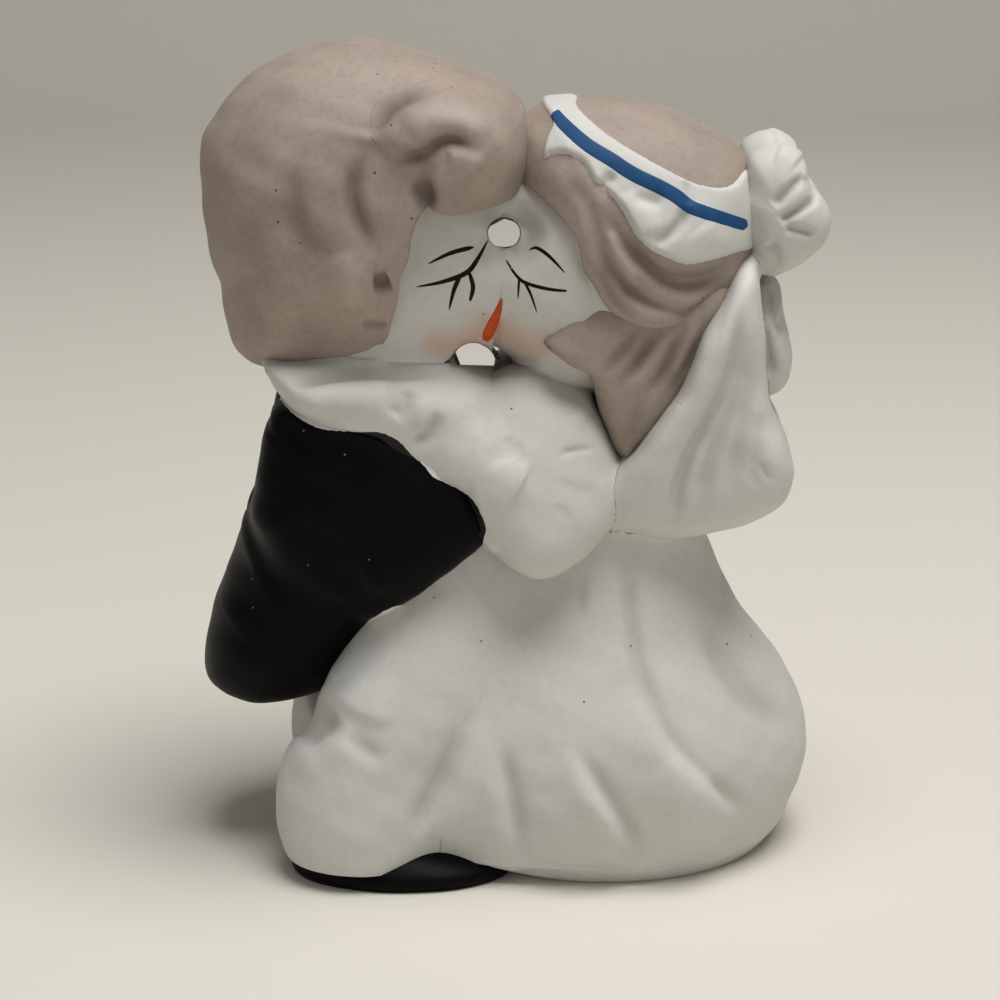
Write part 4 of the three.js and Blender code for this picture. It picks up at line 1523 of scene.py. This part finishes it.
@dataclass
class Headdress:
    """The puffed headband with its blue line, the bow, its tail and the veil."""

    band: Trace = (
        (582, 86), (579, 99), (586, 109), (600, 123), (621, 139), (646, 154), (674, 169), (697, 179),
        (720, 184), (734, 181), (752, 165), (775, 200), (768, 245), (742, 255), (720, 261), (692, 267),
        (671, 261), (648, 249), (632, 228), (619, 205), (603, 189), (593, 180), (582, 162), (566, 154),
        (550, 154), (538, 160), (543, 134), (549, 119), (538, 101), (545, 84),
    )
    band_puff: float = 0.02  # share that the band stands out of the hair's outline
    band_thick: float = 0.9  # how far it stands out of the hair at its front
    ribbon: Trace = (
        (553, 112), (560, 120), (570, 130), (589, 146), (612, 160), (625, 169), (639, 177), (660, 187),
        (676, 196), (689, 206), (704, 212), (726, 219), (748, 226),
    )
    knot: Trace = (
        (746, 210), (755, 204), (763, 210), (766, 224), (762, 238), (754, 242), (746, 235), (743, 222),
    )
    loop: Trace = (
        (745, 182), (750, 154), (772, 142), (793, 148), (804, 159), (807, 171), (811, 183), (821, 193),
        (829, 211), (829, 229), (821, 247), (804, 263), (788, 271), (770, 277), (755, 262), (746, 230),
        (742, 200),
    )
    tail: Trace = (
        (766, 270), (779, 280), (782, 303), (788, 325), (791, 350), (789, 371), (784, 384), (773, 394),
        (757, 393), (747, 360), (745, 320), (752, 285),
    )
    veil: Trace = (
        (741, 276), (728, 299), (709, 323), (699, 347), (689, 376), (677, 399), (662, 417), (647, 436),
        (631, 458), (617, 475), (604, 496), (600, 522), (612, 536), (638, 540), (656, 544), (678, 545),
        (701, 543), (723, 538), (745, 533), (763, 526), (778, 517), (790, 504), (796, 484), (794, 466),
        (788, 447), (778, 427), (772, 408), (769, 380), (767, 340), (763, 300), (757, 273),
    )

    def clays(self, cap: Pillow) -> list[Clay]:
        """Give the pieces of the headdress.

        Args:
            cap: The form of the hair that the band lies on.

        Returns:
            Band, knot, loops, tail and veil.
        """
        grown = cap.outline + (cap.outline - cap.middle) * self.band_puff
        band_strokes = (
            Stroke(((592, 196), (604, 184), (614, 172)), 0.8, -0.7),
            Stroke(((652, 246), (672, 232), (682, 220), (686, 206)), 0.8, -0.8),
            Stroke(((640, 198), (654, 201)), 1.0, -0.6, taper=0.0),
            Stroke(((690, 180), (690, 205)), 0.9, -0.35),
            Stroke(((628, 190), (640, 215), (652, 238)), 2.0, 0.5),
            Stroke(((700, 225), (715, 240), (735, 240)), 2.0, 0.4),
            Stroke(((560, 112), (590, 136), (640, 165), (690, 190)), 1.6, 0.4),
        )
        loop_strokes = (
            Stroke(((772, 206), (788, 191), (806, 175)), 0.7, -0.9),
            Stroke(((779, 222), (799, 210), (819, 197)), 0.6, -1.0),
            Stroke(((784, 228), (800, 231), (816, 236)), 0.6, -0.7),
            Stroke(((768, 240), (776, 256), (780, 272)), 0.9, -0.6),
            Stroke(((776, 150), (790, 155), (800, 162)), 1.6, 0.5),
        )
        tail_strokes = (
            Stroke(((766, 285), (774, 310), (784, 335)), 0.7, -0.6),
            Stroke(((755, 330), (764, 350), (773, 380)), 1.2, -0.9),
        )
        veil_strokes = (
            Stroke(
                ((744, 296), (737, 340), (725, 385), (705, 425), (686, 462), (676, 500), (675, 534)),
                1.0, -1.0,
            ),
            Stroke(((748, 330), (743, 370), (731, 410), (715, 448), (704, 488), (703, 525)), 1.1, -0.7),
            Stroke(((756, 340), (754, 380), (746, 420), (736, 460), (731, 505)), 1.2, -0.6),
            Stroke(((762, 410), (760, 440), (755, 470), (757, 495)), 1.0, -0.4),
            Stroke(((734, 310), (719, 350), (700, 392), (676, 430), (655, 470), (648, 520)), 2.0, 0.7),
            Stroke(((764, 468), (768, 476)), 0.5, -0.4, taper=0.0),
        )
        return [
            Clay(
                "headband",
                Pillow(grown, cap.y, cap.deep + self.band_thick, cap.square),
                Slot.BISQUE,
                Fineness.LARGE,
                band_strokes,
                (Window(self.band, depth=2.2, edge=0.9, ragged=0.05, outside=True),),
                soft=0.0,
                uneven=0.1,
            ),
            Clay(
                "bow_knot",
                Pillow.raised(self.knot, deep=9.0, square=2.4, edge=6.0),
                Slot.BISQUE,
                Fineness.SMALL,
            ),
            Clay(
                "bow_loop",
                Pillow.traced(self.loop, y=-5.6, deep=6.0, square=2.4),
                Slot.BISQUE,
                Fineness.MIDDLE,
                loop_strokes,
                paired=True,
            ),
            Clay(
                "bow_tail",
                Pillow.traced(self.tail, y=0.0, deep=8.0, square=2.2),
                Slot.BISQUE,
                Fineness.SMALL,
                tail_strokes,
            ),
            Clay(
                "veil",
                Pillow.raised(self.veil, deep=17.4, square=5.0, edge=15.0),
                Slot.BISQUE,
                Fineness.MIDDLE,
                veil_strokes,
                soft=0.7,
            ),
        ]

    def line(self) -> Brush:
        """Give the blue line along the band."""
        return Brush("ribbon_line", self.ribbon, 1.95, start=0.8, end=0.8, thick=0.12)


@dataclass
class Arms:
    """Hands and sleeves of the two, the groom's rolled collar, and the black coat with its tail."""

    collar: Trace = (
        (263, 366), (275, 392), (288, 404), (306, 416), (337, 423), (360, 428), (385, 436), (405, 450),
        (425, 466), (446, 474), (468, 464), (484, 442), (490, 416), (484, 395), (462, 384), (430, 378),
        (395, 374), (330, 368), (285, 366),
    )
    groom_hand: Trace = (
        (507, 440), (520, 452), (528, 473), (527, 488), (518, 501), (502, 512), (487, 517), (474, 506),
        (462, 492), (444, 481), (428, 468), (432, 445), (450, 424), (475, 412), (495, 422),
    )
    bride_hand: Trace = ((398, 398), (418, 388), (440, 396), (446, 416), (436, 434), (414, 438), (398, 424))
    bride_sleeve: Trace = (
        (500, 370), (530, 362), (560, 370), (584, 381), (594, 396), (604, 414), (614, 440), (620, 470),
        (618, 503), (609, 526), (594, 547), (576, 564), (556, 576), (534, 579), (513, 570), (495, 555),
        (480, 542), (470, 515), (468, 460), (478, 400),
    )
    coat_sleeve: Trace = (
        (268, 418), (274, 402), (292, 392), (350, 390), (400, 402), (440, 428), (476, 464), (497, 500),
        (497, 524), (483, 543), (467, 557), (441, 577), (413, 595), (390, 607), (365, 608), (330, 590),
        (290, 560), (262, 525), (256, 500), (260, 457), (265, 425),
    )
    coat_tail: Trace = (
        (256, 503), (243, 526), (230, 557), (217, 589), (209, 623), (206, 649), (210, 670), (222, 684),
        (237, 693), (258, 699), (285, 697), (311, 691), (332, 683), (347, 670), (363, 652), (376, 631),
        (384, 615), (385, 590), (365, 555), (325, 520), (285, 500),
    )
    paint: Trace = (
        (255, 380), (269, 384), (276, 394), (288, 409), (300, 419), (318, 428), (337, 431), (360, 432),
        (378, 432), (392, 437), (401, 443), (412, 455), (424, 466), (432, 476), (445, 483), (460, 490),
        (472, 499), (480, 512), (486, 527), (483, 542), (478, 560), (445, 584), (424, 597), (404, 604),
        (390, 608), (376, 616), (367, 622), (366, 627), (376, 623), (390, 613), (400, 612), (404, 640),
        (360, 690), (300, 730), (180, 720), (170, 560),
    )

    def clays(self) -> list[Clay]:
        """Give the arms and the coat.

        Returns:
            Hands, sleeves, collar, tail and the coat's body.
        """
        relief = (
            Stroke(
                ((284, 386), (306, 383), (332, 376), (372, 372), (420, 371), (452, 375)),
                1.0, -1.1, taper=0.3,
            ),
            Stroke(((268, 372), (300, 372), (345, 368), (392, 364)), 1.2, 0.5),
            Stroke(((284, 397), (330, 398), (370, 396), (394, 396)), 2.0, 0.9),
            Stroke(((408, 389), (403, 403), (391, 417)), 1.2, -0.7),
            Stroke(((421, 408), (424, 418)), 1.5, 0.5, taper=0.0),
            Stroke(((414, 436), (424, 438), (432, 430), (438, 410)), 1.1, -0.9),
            Stroke(
                ((488, 518), (500, 512), (513, 500), (522, 485), (529, 470), (531, 455)),
                0.35, 0.6, Mark.LEDGE, fade=2.6, taper=0.35,
            ),
            Stroke(((507, 436), (512, 448), (513, 460)), 0.7, -0.2),
            Stroke(((516, 442), (521, 454), (521, 466)), 0.7, -0.2),
            Stroke(((556, 457), (568, 452), (584, 449), (598, 449)), 0.5, -0.4, taper=0.4),
            Stroke(((556, 480), (580, 490), (604, 492)), 0.9, -0.15, taper=0.4),
            Stroke(((556, 503), (562, 512), (574, 522)), 0.8, -0.15, taper=0.4),
        )
        coat_strokes = (
            Stroke(((282, 560), (310, 566), (335, 578), (360, 596), (380, 607)), 1.6, -0.6),
            Stroke(((285, 520), (310, 540), (345, 560), (375, 585)), 2.0, -0.7),
            Stroke(((340, 555), (365, 570), (388, 592)), 1.6, 0.6),
            Stroke(((430, 480), (445, 505), (440, 530)), 1.6, -0.4),
        )
        arm = partial(Clay, slot=Slot.BISQUE, strokes=relief, presses=(CHIN_FLOOR,), paint=self.paint)
        coat = partial(Clay, slot=Slot.BLACK, paint=self.paint)
        core, core_half = half_box("coat_body")
        return [
            arm(
                "groom_hand",
                Pillow.traced(self.groom_hand, y=-14.2, deep=5.6, square=2.3, blunt=(-35.0, 3.6)),
                fineness=Fineness.SMALL,
                paired=True,
            ),
            arm(
                "bride_hand",
                Pillow.traced(self.bride_hand, y=-13.2, deep=4.8, square=2.2),
                fineness=Fineness.SMALL,
                paired=True,
            ),
            arm(
                "bride_sleeve",
                Pillow.traced(self.bride_sleeve, y=-9.5, deep=9.0, square=2.8, lean=0.3),
                paired=True,
            ),
            arm("groom_collar", Pillow.raised(self.collar, deep=18.8, square=4.0, edge=13.0)),
            coat(
                "coat_sleeve",
                Pillow.traced(self.coat_sleeve, y=-10.6, deep=9.4, square=3.4),
                strokes=(*relief, *coat_strokes),
                paired=True,
            ),
            coat(
                "coat_tail",
                Pillow.traced(self.coat_tail, y=0.0, deep=15.0, square=2.3),
                strokes=coat_strokes,
            ),
            Clay(
                "coat_body",
                Pillow.oval(core, core_half * CORE_SHARE, square=2.2),
                Slot.BLACK,
                Fineness.SMALL,
            ),
        ]


@dataclass
class Skirts:
    """The bride's bodice and bell skirt, and the groom's trousers and shoes."""

    waist: float = 46.0
    skirt_half: tuple[float, float] = (27.5, 24.2)
    swell: tuple[tuple[float, float], ...] = (
        (0.03, 0.85), (0.07, 0.9), (0.2, 0.98), (0.31, 1.0), (0.42, 0.96), (0.55, 0.84), (0.7, 0.65),
        (0.89, 0.5), (1.0, 0.44),
    )
    skirt_drape: Drape = Drape(middle=222.0, spread=26.0, out=3.6, lift=2.0)
    depth_power: float = 0.8  # a section's depth follows this power of its width
    stand: float = 0.96  # share of the hem that stands on the table
    pour_hole: float = 10.0  # radius
    hole_lip: float = 0.4  # rounding of the hole's edge
    lip_share: float = 1.05  # size of that edge as a share of the hole
    foot: float = 7.0  # thickness of the foot round the hole
    hollow_share: float = 0.6  # size of the hollow over the foot, as a share of the hem
    hollow_rise: float = 2.0  # how far over the foot it has that size
    hollow_top: float = 14.0
    leg: tuple[tuple[float, ...], ...] = (
        (2.6, -20.9, -15.2, 9.2, 9.0),
        (4.2, -20.9, -15.2, 9.8, 9.5),
        (9.0, -20.6, -15.0, 10.7, 9.8),
        (15.0, -19.6, -14.3, 10.8, 9.5),
        (22.0, -16.0, -13.0, 10.2, 9.2),
        (29.0, -12.8, -10.6, 9.8, 8.8),
        (38.0, -9.5, -7.4, 9.4, 7.6),
        (50.0, -8.0, -5.5, 8.6, 6.0),
    )  # sections of the front leg, which widens and steps out towards its cuff
    last: tuple[tuple[float, ...], ...] = (
        (0.0, 0.0, 0.95, 0.9),
        (0.8, 0.0, 0.99, 0.96),
        (1.8, 0.0, 0.99, 0.96),
        (3.0, 1.0, 0.9, 0.86),
        (4.4, 3.0, 0.66, 0.7),
    )  # height of the shoe, way back from its middle, and shares of its half width and half depth

    def clays(self) -> list[Clay]:
        """Give the pieces below the waist, and the bodice.

        Returns:
            Bodice, legs, shoes and skirt.
        """
        bodice, bodice_half = half_box("bride_bodice")
        skirt_x = (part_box("skirt")[0].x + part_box("skirt")[1].x) / 2 / MM
        wide, deep = self.skirt_half
        rows = [
            (self.waist * rise, skirt_x, 0.0, wide * share, deep * share**self.depth_power)
            for rise, share in self.swell
        ]
        hole = self.pour_hole / wide / self.swell[0][1]
        skirt = Loft(
            tuple(rows),
            foot=(
                (self.stand, 0.0),
                (hole * self.lip_share, 0.0),
                (hole, self.hole_lip),
                (hole, self.foot),
                (self.hollow_share, self.foot + self.hollow_rise),
                (0.0, self.hollow_top),
            ),
            cap_share=0.12,
            drape=self.skirt_drape,
        )
        folds = (
            Stroke(
                ((624, 545), (629, 593), (636, 655), (647, 688), (669, 742), (706, 781), (742, 812)),
                1.2, -0.7, taper=0.2,
            ),
            Stroke(((579, 572), (580, 595), (579, 620)), 0.9, -0.45, taper=0.4),
            Stroke(((697, 604), (717, 646), (742, 686), (770, 714), (795, 728)), 1.8, -1.0, taper=0.35),
            Stroke(
                ((634, 864), (620, 828), (598, 795), (566, 742)),
                0.7, 1.3, Mark.LEDGE, fade=4.5, taper=0.35,
            ),
            Stroke(
                ((747, 819), (706, 781), (669, 742), (647, 690)),
                0.8, 1.2, Mark.LEDGE, fade=5.5, taper=0.35,
            ),
            Stroke(
                ((514, 860), (511, 823), (502, 781), (493, 735)),
                0.7, 0.8, Mark.LEDGE, fade=4.0, taper=0.35,
            ),
            Stroke(
                ((478, 706), (452, 770), (432, 812), (422, 840)),
                0.8, 1.2, Mark.LEDGE, fade=4.5, taper=0.35,
            ),
            Stroke(((570, 738), (604, 792), (627, 826), (641, 864)), 1.5, -0.8, taper=0.35),
            Stroke(((498, 735), (507, 781), (516, 823), (520, 860)), 1.5, -0.8, taper=0.35),
            Stroke(((474, 706), (447, 770), (427, 812), (416, 840)), 1.7, -0.9, taper=0.35),
            Stroke(((708, 778), (745, 812)), 1.4, -0.5, taper=0.4),
            Stroke(((545, 790), (560, 830), (575, 868)), 3.0, 0.6, taper=0.35),
            Stroke(((660, 760), (690, 810), (700, 850)), 3.4, 0.8, taper=0.35),
            Stroke(((596, 702), (616, 688), (638, 671)), 1.6, -0.25, taper=0.4),
            Stroke(
                ((328, 692), (347, 709), (371, 722), (402, 725)),
                0.8, 1.2, Mark.LEDGE, fade=6.0, taper=0.35,
            ),
            Stroke(((342, 734), (362, 748), (388, 762)), 1.2, -0.6, taper=0.4),
            Stroke(((290, 772), (327, 753), (361, 732)), 2.2, 0.7, taper=0.35),
            Stroke(((296, 742), (314, 726), (338, 710)), 2.2, -1.5, taper=0.35),
        )
        return [
            Clay(
                "bride_bodice",
                Pillow.oval(bodice, bodice_half * CORE_SHARE, square=3.0),
                Slot.BISQUE,
                Fineness.SMALL,
            ),
            Clay("trouser_leg", Loft(self.leg), Slot.BISQUE, Fineness.MIDDLE, folds, paired=True, soft=2.0),
            Clay("shoe", self.shoe(), Slot.BLACK, Fineness.SMALL, paired=True, soft=0.4, uneven=0.05),
            Clay("skirt", skirt, Slot.BISQUE, Fineness.LARGE, folds, soft=2.0),
        ]

    def shoe(self) -> Loft:
        """Give the front shoe, a low rounded last.

        Returns:
            The shoe's form.
        """
        (x, y, _), (wide, deep, _) = half_box("shoe_front")
        return Loft(tuple((z, x - back, y, wide * a, deep * b) for z, back, a, b in self.last))


@dataclass(frozen=True)
class Lamp:
    """A soft round lamp; its place and size are in metres, its power in watts."""

    name: str
    place: tuple[float, float, float]
    size: float
    power: float

    def hang(self, aim: tuple[float, float, float]) -> None:
        """Hang the lamp.

        Args:
            aim: The place that it is turned to.
        """
        lamp = bpy.data.lights.new(self.name, "AREA")
        lamp.shape = "DISK"
        lamp.size = self.size
        lamp.energy = self.power
        made = bpy.data.objects.new(self.name, lamp)
        made.location = self.place
        x, y, z = np.array(aim) - np.array(self.place)
        made.rotation_euler = (math.atan2(math.hypot(x, y), -z), 0.0, math.atan2(-x, y))
        bpy.context.scene.collection.objects.link(made)


@dataclass(frozen=True)
class Studio:
    """A pale floor that rises into a backdrop, soft lamps and the photograph's camera."""

    floor_colour: str = "#DDD8CC"
    sweep: float = 0.9  # half width of the floor, in metres
    bend: float = 0.25  # radius where the floor turns up
    lamps: tuple[Lamp, ...] = (
        Lamp("top_lamp", (0.12, -0.1, 0.75), size=0.5, power=5.4),
        Lamp("front_lamp", (0.35, -0.8, 0.25), size=0.6, power=0.8),
        Lamp("left_lamp", (-0.7, -0.3, 0.4), size=0.5, power=0.35),
    )
    lamp_aim: tuple[float, float, float] = (0.0, 0.0, 0.06)
    ambient: float = 0.15

    def floor(self) -> bpy.types.Object:
        """Make the floor: a straight line, a quarter circle and a straight rise, carried sideways.

        Returns:
            The floor.
        """
        turn = np.linspace(0, math.pi / 2, 24)
        back = self.sweep - self.bend
        y = np.concatenate(([-2 * self.sweep], back + self.bend * np.sin(turn), [self.sweep]))
        z = np.concatenate(([0.0], self.bend * (1 - np.cos(turn)), [1.5 * self.sweep]))
        x = np.array((-2 * self.sweep, 2 * self.sweep))
        grid = np.stack((np.repeat(x[:, None], len(y), 1), np.tile(y, (2, 1)), np.tile(z, (2, 1))), -1)
        index = np.arange(2 * len(y)).reshape(2, len(y))
        faces = np.stack((index[0, :-1], index[1, :-1], index[1, 1:], index[0, 1:]), -1)
        mesh = bpy.data.meshes.new("floor")
        mesh.from_pydata(grid.reshape(-1, 3).tolist(), [], faces.tolist())
        mesh.polygons.foreach_set("use_smooth", np.ones(len(faces), bool))
        made = bpy.data.objects.new("floor", mesh)
        bpy.context.scene.collection.objects.link(made)
        card = bpy.data.materials.new("pale_card")
        card.use_nodes = True
        shader = card.node_tree.nodes["Principled BSDF"]
        shader.inputs["Base Color"].default_value = linear(self.floor_colour)
        shader.inputs["Roughness"].default_value = 0.8
        mesh.materials.append(card)
        return made

    def light(self) -> None:
        """Hang the lamps around the figure and set the ambient light."""
        for lamp in self.lamps:
            lamp.hang(self.lamp_aim)
        world = bpy.data.worlds.new("ambient")
        world.use_nodes = True
        world.node_tree.nodes["Background"].inputs["Strength"].default_value = self.ambient
        world.node_tree.nodes["Background"].inputs["Color"].default_value = (1.0, 1.0, 1.0, 1.0)
        bpy.context.scene.world = world

    def camera(self) -> None:
        """Set the camera at the photograph's angle."""
        lens = bpy.data.cameras.new("camera")
        lens.sensor_width = 36.0
        lens.lens = lens.sensor_width * VIEW.focal / (2 * VIEW.middle)
        made = bpy.data.objects.new("camera", lens)
        sine, cosine = VIEW.tilt
        aim = np.array(VIEW.aim)
        made.location = (aim + VIEW.distance * np.array((0.0, -cosine, sine))) * MM
        made.rotation_euler = (math.pi / 2 - math.radians(VIEW.elevation), 0.0, 0.0)
        bpy.context.scene.collection.objects.link(made)
        bpy.context.scene.camera = made
        bpy.context.scene.view_settings.view_transform = "Standard"


def settle(piece: bpy.types.Object, material: bpy.types.Material, node: str = "") -> None:
    """Dress a finished piece and tie it to the frame.

    Args:
        piece: The piece.
        material: Its finish.
        node: The solid that it stands for, if it stands for one.
    """
    piece.data.materials.append(material)
    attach(piece, "root")
    if node:
        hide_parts(node)
    LOG.info("%s: %d faces", piece.name, len(piece.data.polygons))


def main() -> None:
    """Build the figure around the frame, paint it and set it in the studio."""
    logging.basicConfig(level=logging.INFO, format="%(name)s %(message)s")
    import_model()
    materials = {slot: finish.material() for slot, finish in FINISHES.items()}
    heads, headdress = Heads(), Headdress()
    faces, hair = heads.clays(), Hair().clays()
    cap = next(clay for clay in hair if clay.node == "bride_hair")
    dress = headdress.clays(cap.form)
    clays = [*faces, *hair, *dress, *Arms().clays(), *Skirts().clays()]
    for clay in clays:
        clay.join(clays)
        for side, name in clay.names.items():
            settle(clay.build(side), materials[clay.slot], name)
    rouge = ROUGE.material()
    for side in Side:
        for brush in heads.ink():
            outward = math.copysign(heads.aside, brush.trace[0][0] - VIEW.middle)
            aside = 0.0 if side is Side.FRONT else outward
            settle(brush.lay(faces, side, aside), materials[Slot.FACE])
        settle(heads.lips().lay(faces, side), rouge)
        settle(headdress.line().lay([dress[0]], side), materials[Slot.BLUE])
    studio = Studio()
    studio.floor()
    studio.light()
    studio.camera()


if __name__ == "__main__":
    main()
